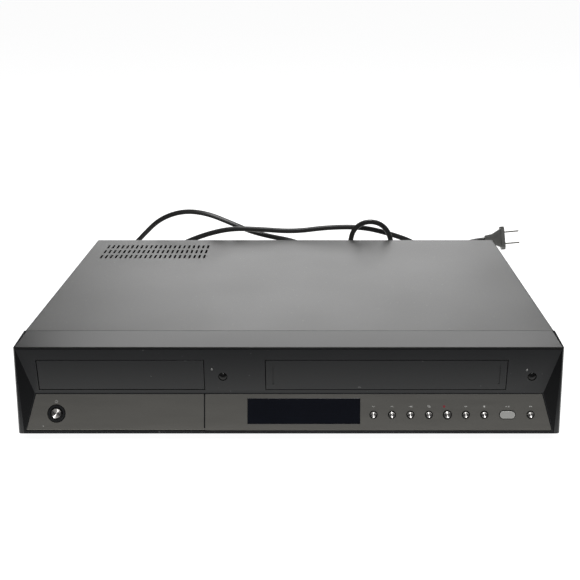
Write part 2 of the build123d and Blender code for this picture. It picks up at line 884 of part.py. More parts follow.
def flank_angle(radius):
    """Half the angle that a tooth of the pinion takes at a radius."""
    base = gear_radius * cos(pressure)
    at = acos(min(1.0, base / radius))
    return tooth_width / (2 * gear_radius) + involute(pressure) - involute(at)


root_radius = gear_radius - dedendum
base_radius = gear_radius * cos(pressure)
flank = [(root_radius, flank_angle(base_radius))]
flank += [(radius, flank_angle(radius)) for radius in (gear_radius, gear_radius + addendum)]
outline = []
for index in range(gear_teeth):
    middle = 2 * pi * index / gear_teeth
    tooth_sides = [(radius, middle - turn) for radius, turn in flank]
    tooth_sides += [(radius, middle + turn) for radius, turn in reversed(flank)]
    outline += [(radius * cos(at), radius * sin(at)) for radius, at in tooth_sides]
pinion_low = rack_low + 0.1
pinion = Pos(gear_x, gear_y, pinion_low) * extrude(
    Polygon(*outline, align=None), amount=gear_thickness - 0.4
)
motor_top = loader_floor - 0.2
shaft_radius = 1.5
pinion += post(gear_x, gear_y, motor_top - 6, pinion_low + 1, shaft_radius)
pieces["tray_pinion"] = pinion

tray_motor = post(gear_x, gear_y, motor_top - tray_motor_height, motor_top, tray_motor_radius)
tray_motor -= post(gear_x, gear_y, motor_top - 6.3, motor_top + 1, shaft_radius + shaft_fit)
pieces["tray_motor"] = tray_motor

# ---------------------------------------------------------------- loader frame
loader_front = y_edge + 7.5
loader_back = loader_front + loader_length
loader_half = tray_width / 2 + tray_runner + runner_gap
z_loader_floor = loader_floor + loader_wall
z_loader_top = loader_floor + loader_height
frame = block(
    (tray_x - loader_half - loader_wall, tray_x + loader_half + loader_wall),
    (loader_front, loader_back),
    (loader_floor, z_loader_top),
)
frame -= block(
    (tray_x - loader_half, tray_x + loader_half),
    (loader_front - 1, loader_back - loader_wall),
    (z_loader_floor, z_loader_top + 1),
)
ledge_reach = tray_runner - 0.2
for side in (-1, 1):
    wall_x = tray_x + side * loader_half
    ledge_x = sorted((wall_x + side * 0.5, wall_x - side * ledge_reach))
    for low, high in (
        (tray_floor - 2.0, tray_floor - runner_gap),
        (tray_floor + 2.4 + runner_gap, tray_floor + 4.4),
    ):
        frame += block(ledge_x, (loader_front, loader_back), (low, high))
well_x = (tray_x - rail_spacing / 2 - 6.0, tray_x + rail_spacing / 2 + 6.0)
well_y = (y_disc - 18.0, y_disc + 80.0)
frame -= block(well_x, well_y, (loader_floor - 1, z_loader_floor + 1))
frame -= post(gear_x, gear_y, loader_floor - 1, z_loader_floor + 1, shaft_radius + 0.5)
leg_places = [
    (tray_x + side * (loader_half - 4.0), y)
    for side in (-1, 1)
    for y in (y_seam + 12.0, loader_back - 10.0)
]
for x, y in leg_places:
    frame += post(x, y, z_pan, loader_floor + 0.5, 4.0, small_sides)
z_rail = loader_floor + 5.0
rail_front = y_disc + 16.5
rail_back = rail_front + sled_length + sled_travel + 5.5
motor_plate_z = (loader_floor, z_loader_floor)
frame += block(well_x, (rail_back - 3.0, well_y[1]), (loader_floor, z_rail + 3.0))
frame += block(well_x, (y_disc - 18.5, y_disc + 15.0), motor_plate_z)
for side in (-1, 1):
    rail_x = tray_x + side * rail_spacing / 2
    lug_y = (rail_front - 5.5, rail_front + 0.5)
    frame += block((rail_x - 3, rail_x + 3), lug_y, (loader_floor, z_rail + 3.0))
    frame -= lengthwise(rail_x, z_rail, rail_front - 2.5, rail_back, rail_radius)
pieces["loader_frame"] = frame

rails = Part()
for side in (-1, 1):
    rails += lengthwise(tray_x + side * rail_spacing / 2, z_rail, rail_front - 2.5, rail_back, rail_radius)
pieces["sled_rails"] = rails

motor_base = z_loader_floor
z_turntable = tray_floor - 0.5
spindle_bore = 1.0
spindle_motor = post(tray_x, y_disc, motor_base, z_turntable - 1.0, spindle_motor_radius)
spindle_motor -= post(tray_x, y_disc, motor_base + 1, z_turntable, spindle_bore + shaft_fit)
pieces["spindle_motor"] = spindle_motor
turntable_profile = [
    (0, z_turntable - 6.0),
    (spindle_bore, z_turntable - 6.0),
    (spindle_bore, z_turntable - 0.6),
    (turntable_radius, z_turntable - 0.6),
    (turntable_radius, z_turntable + 1.8),
    (7.4, z_turntable + 1.8),
    (6.6, z_turntable + 4.4),
    (0, z_turntable + 4.4),
]
pieces["spindle_turntable"] = Pos(tray_x, y_disc, 0) * revolve(
    Plane.XZ * Polygon(*turntable_profile, align=None), axis=Axis.Z
)

sled_front = rail_front + 2.0
sled_half = rail_spacing / 2 + 4.0
sled_back = sled_front + sled_length
sled = block((tray_x - sled_half, tray_x + sled_half), (sled_front, sled_back), (z_rail - 3.2, z_rail + 3.2))
for side in (-1, 1):
    rail_x = tray_x + side * rail_spacing / 2
    sled -= lengthwise(rail_x, z_rail, sled_front - 1, sled_back + 1, rail_radius + shaft_fit)
lens_y = sled_front + sled_length / 2
sled += block((tray_x - 8, tray_x + 8), (lens_y - 7, lens_y + 7), (z_rail + 3, z_rail + 5.0))
sled += post(tray_x, lens_y, z_rail + 4.5, z_rail + 5.8, 3.2)
pieces["laser_sled"] = sled

z_bridge = z_loader_top
bridge = block(
    (tray_x - loader_half - loader_wall, tray_x + loader_half + loader_wall),
    (y_disc - 22.0, y_disc + 22.0),
    (z_bridge, z_bridge + 1.2),
)
bridge -= post(tray_x, y_disc, z_bridge - 1, z_bridge + 2, clamp_hub_radius + 1.2)
pieces["clamp_bridge"] = bridge
clamp_profile = [
    (0, z_bridge - 3.4),
    (clamp_radius, z_bridge - 3.4),
    (clamp_radius, z_bridge - 1.6),
    (clamp_hub_radius, z_bridge - 1.6),
    (clamp_hub_radius, z_bridge + 1.4),
    (clamp_hub_radius + 3.5, z_bridge + 1.4),
    (clamp_hub_radius + 3.5, z_bridge + 2.6),
    (0, z_bridge + 2.6),
]
pieces["disc_clamp"] = Pos(tray_x, y_disc, 0) * revolve(
    Plane.XZ * Polygon(*clamp_profile, align=None), axis=Axis.Z
)

# ---------------------------------------------------------------- cassette deck
deck_top = deck_level + deck_sheet
y_deck = y_edge + deck_front
y_deck_back = y_deck + deck_length
deck_x = (cassette_x - deck_half_width, cassette_x + deck_half_width)
deck = block(deck_x, (y_deck, y_deck_back), (deck_level, deck_top))
for x in (deck_x[0] + 8.0, deck_x[1] - 8.0):
    for y in (y_deck + 8.0, y_deck_back - 8.0):
        deck += post(x, y, z_pan, deck_level + 0.5, 4.0, small_sides)
y_reel = y_edge + reel_reach
reels = {
    "supply_reel": cassette_x - reel_spacing / 2,
    "takeup_reel": cassette_x + reel_spacing / 2,
}
reel_post_radius = 2.0
for x in reels.values():
    deck += post(x, y_reel, deck_top - 0.2, deck_top + 7.0, reel_post_radius)
drum_x = cassette_x - 4.0
drum_y = y_edge + drum_reach
capstan_x = drum_x + capstan_aside
capstan_y = drum_y - capstan_ahead
capstan_house = 4.5
deck += post(capstan_x, capstan_y, deck_top - 0.2, deck_top + 9.0, capstan_house)
deck -= post(capstan_x, capstan_y, deck_level - 1, deck_top + 10, capstan_radius + shaft_fit)
arm_x = capstan_x + pinch_post_aside
arm_y = capstan_y + pinch_post_behind
arm_post_radius = 2.5
arm_level = deck_top + 9.0
deck += post(arm_x, arm_y, deck_top - 0.2, arm_level + 4.5, arm_post_radius)
bracket_sheet = 1.4
holder_outer = cassette_width / 2 + holder_sheet
bracket_gap = 0.4
holder_pin_radius = 1.6
y_holder = y_edge + holder_reach
holder_pins = (y_holder + 22.0, y_holder + cassette_depth - 20.0)
z_holder_pin = holder_level + 6.0
for side in (-1, 1):
    bracket_x = sorted(
        (
            cassette_x + side * (holder_outer + bracket_gap),
            cassette_x + side * (holder_outer + bracket_gap + bracket_sheet),
        )
    )
    bracket = block(bracket_x, (y_deck + 2.0, y_holder + cassette_depth), (deck_top - 0.2, z_top - 12.0))
    for y in holder_pins:
        bracket -= block(
            (bracket_x[0] - 1, bracket_x[1] + 1),
            (y - holder_pin_radius - 0.2, y + holder_pin_radius + 0.2),
            (z_holder_pin - holder_travel - holder_pin_radius - 0.3, z_holder_pin + holder_pin_radius + 0.3),
        )
    deck += bracket
pieces["deck_plate"] = deck

# Where the guides and the fixed heads stand, from the axis of the drum
guide_places = [(-58.0, -27.0), (-74.0, -9.0), (34.0, 19.0), (70.0, 13.0)]
head_places = [(-48.0, -16.0), (54.0, 2.0)]
guide_collar = guide_radius + 1.2
guide_top = deck_top + guide_height
foot_collar = deck_top + guide_height / 5
head_collar = guide_top - guide_height / 10
guides = Part()
for aside, behind in guide_places:
    x = drum_x + aside
    y = drum_y + behind
    guides += post(x, y, deck_top, guide_top, guide_radius, small_sides)
    guides += post(x, y, deck_top, foot_collar, guide_collar, small_sides)
    guides += post(x, y, head_collar, guide_top, guide_collar, small_sides)
pieces["tape_guides"] = guides

heads = Part()
for aside, behind in head_places:
    middle = (drum_x + aside, drum_y + behind, deck_top + head_height / 2)
    heads += Pos(*middle) * Box(head_width, head_depth, head_height)
pieces["tape_heads"] = heads

reel_profile = [
    (reel_post_radius + shaft_fit, deck_top + 1.0),
    (reel_radius, deck_top + 1.0),
    (reel_radius, deck_top + 4.0),
    (5.4, deck_top + 4.0),
    (4.6, deck_top + spindle_height - 1.5),
    (0, deck_top + spindle_height),
    (0, deck_top + 7.3),
    (reel_post_radius + shaft_fit, deck_top + 7.3),
]
for name, x in reels.items():
    reel = Pos(x, y_reel, 0) * revolve(Plane.XZ * Polygon(*reel_profile, align=None), axis=Axis.Z)
    for turn in (0, 120, 240):
        spline = Rot(0, 0, turn) * block((4.0, 6.4), (-0.8, 0.8), (deck_top + 4.0, deck_top + 13.0))
        reel += Pos(x, y_reel, 0) * spline
    pieces[name] = reel

drum_frame = Plane((drum_x, drum_y, deck_top + 4.0)) * Rot(drum_tilt, 0, 0)
drum_base = drum_frame * Pos(0, 0, drum_base_height / 2 - 4.0) * Cylinder(drum_radius, drum_base_height + 8.0)
drum_shaft_radius = 3.0
rotor_low = drum_base_height + drum_gap
drum_base -= drum_frame * Pos(0, 0, drum_base_height - 5.0) * Cylinder(drum_shaft_radius + shaft_fit, 12.0)
drum_base -= block(
    (drum_x - 60, drum_x + 60), (drum_y - 60, drum_y + 60), (deck_top - 40, deck_top)
)
drum_rotor = Pos(0, 0, rotor_low + drum_rotor_height / 2) * Cylinder(drum_radius, drum_rotor_height)
drum_rotor = drum_frame * drum_rotor
drum_rotor -= drum_frame * Pos(0, 0, rotor_low + drum_rotor_height) * Cylinder(drum_radius - 9.0, 4.0)
drum_rotor += drum_frame * Pos(0, 0, rotor_low - 3.5) * Cylinder(drum_shaft_radius, 9.0)
pieces["drum_base"] = drum_base
pieces["drum_rotor"] = drum_rotor

flywheel_top = deck_level - 1.0
capstan = post(capstan_x, capstan_y, flywheel_top - 5.0, deck_top + capstan_height, capstan_radius)
capstan += post(capstan_x, capstan_y, flywheel_top - 5.0, flywheel_top, flywheel_radius)
pieces["capstan"] = capstan

reach_to_capstan = hypot(arm_x - capstan_x, arm_y - capstan_y)
roller_stop = capstan_radius + roller_radius + 0.3
swing_share = (pinch_arm_length**2 + reach_to_capstan**2 - roller_stop**2) / (
    2 * pinch_arm_length * reach_to_capstan
)
pressed_angle = atan2(capstan_y - arm_y, capstan_x - arm_x) - acos(swing_share)
parked_angle = pressed_angle - radians(pinch_swing)
roller_x = arm_x + pinch_arm_length * cos(parked_angle)
roller_y = arm_y + pinch_arm_length * sin(parked_angle)
arm = post(arm_x, arm_y, arm_level, arm_level + 4.0, 4.6)
arm += post(roller_x, roller_y, arm_level, arm_level + 3.0, 3.4)
arm += Pos((arm_x + roller_x) / 2, (arm_y + roller_y) / 2, arm_level + 1.5) * Rot(
    0, 0, degrees(parked_angle)
) * Box(pinch_arm_length, 5.0, 3.0)
arm -= post(arm_x, arm_y, arm_level - 1, arm_level + 5, arm_post_radius + shaft_fit)
roller_pin_radius = 1.6
arm += post(roller_x, roller_y, arm_level, arm_level + 16.0, roller_pin_radius)
pieces["pinch_arm"] = arm
roller = post(roller_x, roller_y, arm_level + 3.2, arm_level + 15.2, roller_radius)
roller -= post(roller_x, roller_y, arm_level + 3.0, arm_level + 15.4, roller_pin_radius + shaft_fit)
pieces["pinch_roller"] = roller

# Cassette holder: a sheet tube, open at the front and the back, that sinks onto the reels
holder_x = (cassette_x - holder_outer, cassette_x + holder_outer)
holder_y = (y_holder, y_holder + cassette_depth)
holder_top = holder_level + cassette_height + 2 * holder_sheet
holder = block(holder_x, holder_y, (holder_level, holder_top))
holder -= block(
    (cassette_x - cassette_width / 2, cassette_x + cassette_width / 2),
    (holder_y[0] - 1, holder_y[1] + 1),
    (holder_level + holder_sheet, holder_top - holder_sheet),
)
holder -= block(
    (cassette_x - reel_spacing / 2 - reel_radius - 3, cassette_x + reel_spacing / 2 + reel_radius + 3),
    (y_reel - reel_radius - 3, holder_y[1] + 1),
    (holder_level - 1, holder_level + holder_sheet),
)
holder -= block(
    (cassette_x - 60, cassette_x + 60),
    (holder_y[0] + 14, holder_y[1] - 30),
    (holder_top - holder_sheet, holder_top + 1),
)
for side in (-1, 1):
    wall = cassette_x + side * holder_outer
    pin_x = sorted((wall - side * 0.4, wall + side * (bracket_gap + bracket_sheet + 0.6)))
    for y in holder_pins:
        holder += across(y, z_holder_pin, *pin_x, holder_pin_radius, ring_sides)
pieces["cassette_holder"] = holder


# ---------------------------------------------------------------- electronics
def board(left, front, board_width, board_depth):
    """A circuit board on its stand-offs."""
    board_z = (z_board, z_board + board_thickness)
    return block((left, left + board_width), (front, front + board_depth), board_z)


z_parts = z_board + board_thickness
pieces["power_supply_board"] = board(supply_left, supply_front, supply_board_width, supply_board_depth)
transformer_x = supply_left + 46.0
transformer_y = supply_front + 44.0
transformer = block(
    (transformer_x - transformer_size / 2, transformer_x + transformer_size / 2),
    (transformer_y - 13, transformer_y + 13),
    (z_parts + 4, z_parts + 22),
)
transformer += block(
    (transformer_x - 10, transformer_x + 10),
    (transformer_y - 11, transformer_y + 11),
    (z_parts, z_parts + 26),
)
pieces["transformer"] = transformer
capacitors = post(
    supply_left + 16,
    supply_front + 30,
    z_parts,
    z_parts + large_capacitor_height,
    large_capacitor_radius,
    small_sides,
)
for reach in (74, 88, 102):
    capacitors += post(
        supply_left + reach,
        supply_front + 22,
        z_parts,
        z_parts + small_capacitor_height,
        small_capacitor_radius,
        small_sides,
    )
pieces["capacitors"] = capacitors
sink_x = supply_left + 76
sink_y = supply_front + 34
sink_top = z_parts + heat_sink_height
heat_sink = block((sink_x, sink_x + 3), (sink_y, sink_y + heat_sink_length), (z_parts, sink_top))
for index in range(fin_count):
    y_fin = sink_y + 1 + index * (heat_sink_length - 2) / (fin_count - 1)
    heat_sink += block(
        (sink_x + 2, sink_x + 2 + fin_length), (y_fin - 0.7, y_fin + 0.7), (z_parts + 4, sink_top)
    )
pieces["heat_sink"] = heat_sink
main_board = board(main_left, main_front, main_board_width, main_board_depth)
main_board += block(
    (main_left + 60, main_left + 88), (main_front + 8, main_front + 36), (z_parts - 0.2, z_parts + 2.4)
)
main_board += block(
    (main_left + 120, main_left + 140), (main_front + 10, main_front + 30), (z_parts - 0.2, z_parts + 2.4)
)
pieces["main_board"] = main_board

tuner_x = (main_left + main_board_width - 6.0 - tuner_width, main_left + main_board_width - 6.0)
tuner = block(tuner_x, (panel_face - tuner_depth, panel_face), (z_parts, z_parts + tuner_height))
aerial_z = z_parts + tuner_height / 2
aerials = [tuner_x[0] + 14.0, tuner_x[1] - 14.0]
for x in aerials:
    tuner += lengthwise(
        x, aerial_z, panel_face - 0.2, y_panel + aerial_collar_reach, aerial_collar_radius, ring_sides
    )
    tuner += lengthwise(x, aerial_z, y_panel, y_sockets, aerial_radius)
    tuner -= lengthwise(x, aerial_z, y_sockets - 6, y_sockets + 1, 1.0, small_sides)
pieces["tuner"] = tuner

rear_jacks = Part()
block_x = (rear_jack_x - 9.0, rear_jack_x + (rear_jack_columns - 1) * rear_jack_pitch + 9.0)
block_top = rear_jack_level + (rear_jack_rows - 1) * rear_jack_pitch + 8.0
rear_jacks += block(block_x, (panel_face - 12.0, panel_face), (z_parts, block_top))
rear_places = [
    (rear_jack_x + column * rear_jack_pitch, rear_jack_level + row * rear_jack_pitch)
    for column in range(rear_jack_columns)
    for row in range(rear_jack_rows)
]
for x, z in rear_places:
    rear_jacks += lengthwise(x, z, panel_face - 0.2, y_sockets, jack_radius, ring_sides)
    rear_jacks -= lengthwise(x, z, y_sockets - 8, y_sockets + 1, jack_bore, small_sides)
pieces["rear_av_jacks"] = rear_jacks

digital_x = block_x[1] + 18.0
hdmi_half = 7.5
s_video_x = digital_x + 26.0
digital = block(
    (digital_x - hdmi_half, digital_x + hdmi_half), (panel_face - 11, y_panel + 0.5), (z_parts, z_parts + 6.2)
)
digital -= block(
    (digital_x - hdmi_half + 0.8, digital_x + hdmi_half - 0.8),
    (y_panel - 8, y_panel + 1),
    (z_parts + 0.8, z_parts + 5.4),
)
digital += block((digital_x - 5, digital_x + 5), (y_panel - 9, y_panel - 1), (z_parts + 2.6, z_parts + 3.6))
s_video_z = z_parts + 8.0
digital += block((s_video_x - 7, s_video_x + 7), (panel_face - 12, panel_face), (z_parts, z_parts + 15))
digital += lengthwise(s_video_x, s_video_z, panel_face - 0.2, y_panel + 1.0, 5.2, ring_sides)
digital -= lengthwise(s_video_x, s_video_z, y_panel - 6, y_panel + 2, 4.4, ring_sides)
pieces["digital_sockets"] = digital

# ---------------------------------------------------------------- rear panel
boot_x = -(half - boot_x_inset)
panel_clear = 0.3
rear_panel = block((-inner_half, inner_half), (panel_face, y_panel), (z_bottom, z_top - cover_sheet - 0.1))
rear_panel = fillet(rear_panel.edges().filter_by(Axis.Y).group_by(Axis.Z)[-1], cover_radius)
for x, z in rear_places:
    rear_panel -= lengthwise(x, z, panel_face - 1, y_panel + 1, jack_radius + panel_clear, ring_sides)
for x in aerials:
    rear_panel -= lengthwise(
        x, aerial_z, panel_face - 1, y_panel + 1, aerial_collar_radius + panel_clear, ring_sides
    )
rear_panel -= block(
    (digital_x - hdmi_half - panel_clear, digital_x + hdmi_half + panel_clear),
    (panel_face - 1, y_panel + 1),
    (z_parts - panel_clear, z_parts + 6.2 + panel_clear),
)
rear_panel -= lengthwise(s_video_x, s_video_z, panel_face - 1, y_panel + 1, 5.2 + panel_clear, ring_sides)
boot_hole = boot_neck_radius + 0.15
rear_panel -= lengthwise(boot_x, boot_level, panel_face - 1, y_panel + 1, boot_hole, ring_sides)
rear_screw_x = half - rear_screw_inset
rear_screw_z = z_top - rear_screw_drop
rear_screws = [(-rear_screw_x, rear_screw_z), (40.0, rear_screw_z), (rear_screw_x, rear_screw_z)]
for x, z in rear_screws:
    rear_panel -= lengthwise(x, z, panel_face - 1, y_panel + 1, screw_radius + sheet_gap, small_sides)
pieces["rear_panel"] = rear_panel

screws = Part()
for side, y in side_screws:
    head_x = sorted((side * half, side * (half + screw_head)))
    shank_x = sorted((side * (half + 0.5), side * (half - screw_length)))
    screws += across(y, z_side_screw, *head_x, screw_head_radius, small_sides)
    screws += across(y, z_side_screw, *shank_x, screw_radius, small_sides)
for x, z in rear_screws:
    screws += lengthwise(x, z, y_panel, y_panel + screw_head, screw_head_radius, small_sides)
    screws += lengthwise(x, z, y_panel - screw_length, y_panel + 0.5, screw_radius, small_sides)
pieces["case_screws"] = screws

# ---------------------------------------------------------------- mains lead
# Route of the lead from its boot to the plug: an arch over the back of the player, a turn that
# lies behind it, a long stretch to the right, a second turn, a small loop and the plug. Each
# point is right of the boot, behind the cover and above the floor.
cord_route = [
    (0.0, 6.0, 36.0),
    (0.0, 33.0, 36.0),
    (9.0, 48.0, 53.0),
    (29.1, 45.0, 74.7),
    (49.6, 40.0, 94.8),
    (76.5, 35.0, 105.0),
    (103.5, 31.0, 103.2),
    (131.2, 28.0, 92.3),
    (158.8, 27.0, 80.4),
    (211.0, 27.0, 70.5),
    (230.0, 27.5, 50.0),
    (230.0, 27.5, 24.0),
    (210.0, 26.5, 4.6),
    (172.0, 25.0, 3.6),
    (127.0, 23.0, 3.4),
    (76.0, 21.0, 5.2),
    (55.5, 20.0, 25.0),
    (55.5, 18.5, 53.0),
    (72.3, 17.0, 70.3),
    (102.3, 15.0, 83.2),
    (132.3, 14.0, 90.4),
    (165.1, 15.0, 88.8),
    (200.2, 16.5, 85.9),
    (237.7, 18.0, 90.5),
    (275.2, 19.0, 90.6),
    (306.3, 20.5, 82.6),
    (335.0, 23.0, 71.5),
    (352.5, 25.0, 54.0),
    (352.5, 27.0, 29.0),
    (333.0, 27.0, 12.2),
    (304.0, 25.0, 9.6),
    (278.0, 21.0, 12.4),
    (263.5, 16.5, 29.0),
    (263.0, 12.0, 54.0),
    (261.7, 9.5, 84.6),
    (273.8, 9.0, 98.7),
    (292.7, 9.0, 99.0),
    (305.8, 9.5, 85.8),
    (309.0, 11.5, 56.0),
    (311.0, 14.0, 33.0),
    (324.5, 15.5, 16.5),
    (345.0, 16.5, 13.0),
    (362.0, 17.5, 24.0),
    (368.5, 18.0, 43.0),
    (377.0, 18.0, 60.5),
    (390.0, 18.0, 74.4),
    (411.3, 18.0, 76.4),
]
route = [Vector(boot_x + right, y_back + behind, above) for right, behind, above in cord_route]
bend_radii = []
for before_point, at_point, after_point in zip(route, route[1:], route[2:]):
    run_in = at_point - before_point
    run_out = after_point - at_point
    turn = radians(run_in.get_angle(run_out))
    bend_radii.append(0.45 * min(run_in.length, run_out.length) / tan(turn / 2))
print("cord bend radii", [round(radius, 1) for radius in bend_radii])
cord_line = FilletPolyline(*route, radius=bend_radii)
start = Plane(route[0], z_dir=route[1] - route[0])
section = RegularPolygon(cord_diameter / 2, cord_sides)
cord = sweep(start * section, path=cord_line)
print("cord length", round(cord_line.length, 1))
print("volume over section times length", cord.volume / section.area / cord_line.length)
pieces["power_cord"] = cord

# Boot of the lead: a snap-in neck in the back panel, a flange and a taper round the lead
boot_back = y_panel + boot_flange + boot_length
boot = lengthwise(boot_x, boot_level, panel_face - 2.0, y_panel + boot_flange, boot_neck_radius, ring_sides)
boot += lengthwise(boot_x, boot_level, y_panel, y_panel + boot_flange, boot_flange_radius, ring_sides)
boot += lengthwise(boot_x, boot_level, panel_face - 4.0, panel_face - 1.2, boot_neck_radius + 0.8, ring_sides)
taper_start = Plane((boot_x, y_panel + boot_flange, boot_level), x_dir=(1, 0, 0), z_dir=(0, 1, 0))
boot += loft(
    [
        taper_start * RegularPolygon(boot_neck_radius, ring_sides),
        taper_start * Pos(0, 0, boot_length) * RegularPolygon(boot_tip_radius, ring_sides),
    ]
)
boot -= lengthwise(boot_x, boot_level, route[0].Y - 0.2, boot_back + 1, boot_bore_radius, ring_sides)
pieces["cord_bushing"] = boot

# Plug: local Z runs from the lead to the blades, local Y is the wide way across the blades
plug_axis = route[-1] - route[-2]
plug_frame = Plane(route[-1], x_dir=(0, -1, 0), z_dir=plug_axis) * Rot(0, 0, plug_roll)
neck = 9.0
neck_length = 8.0
flange_length = 4.0


def cut_corners(wide, tall, cut):
    """A rectangle with its four corners cut off."""
    return chamfer(Rectangle(wide, tall).vertices(), cut)


plug_body = loft(
    [
        plug_frame * cut_corners(neck - 1.5, neck, 1.5),
        plug_frame * Pos(0, 0, neck_length) * cut_corners(neck, neck + 2.0, 1.8),
        plug_frame
        * Pos(0, 0, plug_length - flange_length)
        * cut_corners(plug_thickness - 3.0, plug_width - 5.0, 2.2),
    ],
    ruled=True,
)
plug_body += plug_frame * Pos(0, 0, plug_length - flange_length) * extrude(
    cut_corners(plug_thickness, plug_width, 3.0), amount=flange_length
)
for side in (-1, 1):
    blade = Pos(0, side * blade_spacing / 2, plug_length + blade_length / 2) * Box(
        blade_width, blade_thickness, blade_length
    )
    hole_place = Pos(0, side * blade_spacing / 2, plug_length + blade_length - 3.5) * Rot(90, 0, 0)
    blade -= hole_place * bar(blade_hole_radius, 3 * blade_thickness, small_sides)
    plug_body += plug_frame * blade
pieces["power_plug"] = plug_body

# ---------------------------------------------------------------- write every piece
for name, shape in pieces.items():
    export_step(shape, f"parts/{name}.step")
print(len(pieces), "pieces")
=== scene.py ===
import bmesh
import bpy
import json
from math import atan2, cos, pi, radians, sin
from mathutils import Matrix, Vector

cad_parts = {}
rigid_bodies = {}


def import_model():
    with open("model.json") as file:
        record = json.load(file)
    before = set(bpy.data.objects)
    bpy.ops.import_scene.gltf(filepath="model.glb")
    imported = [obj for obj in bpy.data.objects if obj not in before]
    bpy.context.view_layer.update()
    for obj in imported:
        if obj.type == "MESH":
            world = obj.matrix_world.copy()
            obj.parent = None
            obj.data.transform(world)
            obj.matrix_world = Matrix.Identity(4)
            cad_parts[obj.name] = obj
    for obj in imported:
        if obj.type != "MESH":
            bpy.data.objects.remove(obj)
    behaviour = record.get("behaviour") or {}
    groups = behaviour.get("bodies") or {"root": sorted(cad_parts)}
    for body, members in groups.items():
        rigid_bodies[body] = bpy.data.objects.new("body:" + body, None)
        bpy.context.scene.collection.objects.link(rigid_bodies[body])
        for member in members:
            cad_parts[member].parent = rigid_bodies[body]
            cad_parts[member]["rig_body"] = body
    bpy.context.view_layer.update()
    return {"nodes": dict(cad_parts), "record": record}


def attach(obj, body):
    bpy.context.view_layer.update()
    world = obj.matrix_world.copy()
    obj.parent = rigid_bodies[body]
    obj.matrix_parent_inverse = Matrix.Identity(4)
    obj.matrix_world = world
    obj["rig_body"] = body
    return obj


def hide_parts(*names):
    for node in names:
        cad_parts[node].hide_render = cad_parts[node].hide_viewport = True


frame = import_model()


# ---------------------------------------------------------------- camera, floor and light
# The player stands on a plain pale floor. A broad soft light hangs high behind it and gives the
# cover its grey sheen. Two smaller ones, above and in front, light the front.
view = bpy.data.cameras.new("camera")
view.lens = 59.41
view.sensor_width = 36.0
view.sensor_fit = "HORIZONTAL"
view.shift_x = -0.0386
view.clip_end = 100.0
camera = bpy.data.objects.new("camera", view)
camera.location = (0.0185, -0.8475, 0.3551)
camera.rotation_euler = (radians(90 - 18.26), 0, 0)
bpy.context.scene.collection.objects.link(camera)
bpy.context.scene.camera = camera
bpy.context.scene.view_settings.view_transform = "Standard"


def soft_light(name, place, aim, width, height, watts):
    """A flat oval lamp that looks at a point."""
    lamp = bpy.data.lights.new(name, "AREA")
    lamp.shape = "ELLIPSE"
    lamp.size = width
    lamp.size_y = height
    lamp.energy = watts
    holder = bpy.data.objects.new(name, lamp)
    holder.location = place
    holder.rotation_euler = (Vector(aim) - Vector(place)).to_track_quat("-Z", "Y").to_euler()
    bpy.context.scene.collection.objects.link(holder)
    return holder


soft_light("back_light", (0.02, 1.9, 1.0), (0, 0, 0.05), 1.8, 1.4, 20.5)
soft_light("top_light", (0.1, -0.6, 2.2), (0, 0, 0), 0.9, 0.6, 16)
soft_light("front_light", (0.15, -2.2, 2.3), (0, 0, 0.05), 0.8, 0.6, 34)


class Wire:
    """One output in a material, with which shader maths is written as plain expressions."""

    def __init__(self, finish, socket):
        self.finish = finish
        self.socket = socket

    def maths(self, operation, other, swapped=False):
        values = (other, self) if swapped else (self, other)
        return self.finish.node("ShaderNodeMath", {"operation": operation}, dict(enumerate(values)))

    def __add__(self, other):
        return self.maths("ADD", other)

    def __sub__(self, other):
        return self.maths("SUBTRACT", other)

    def __rsub__(self, other):
        return self.maths("SUBTRACT", other, swapped=True)

    def __mul__(self, other):
        return self.maths("MULTIPLY", other)

    def __gt__(self, other):
        return self.maths("GREATER_THAN", other)

    __radd__ = __add__
    __rmul__ = __mul__


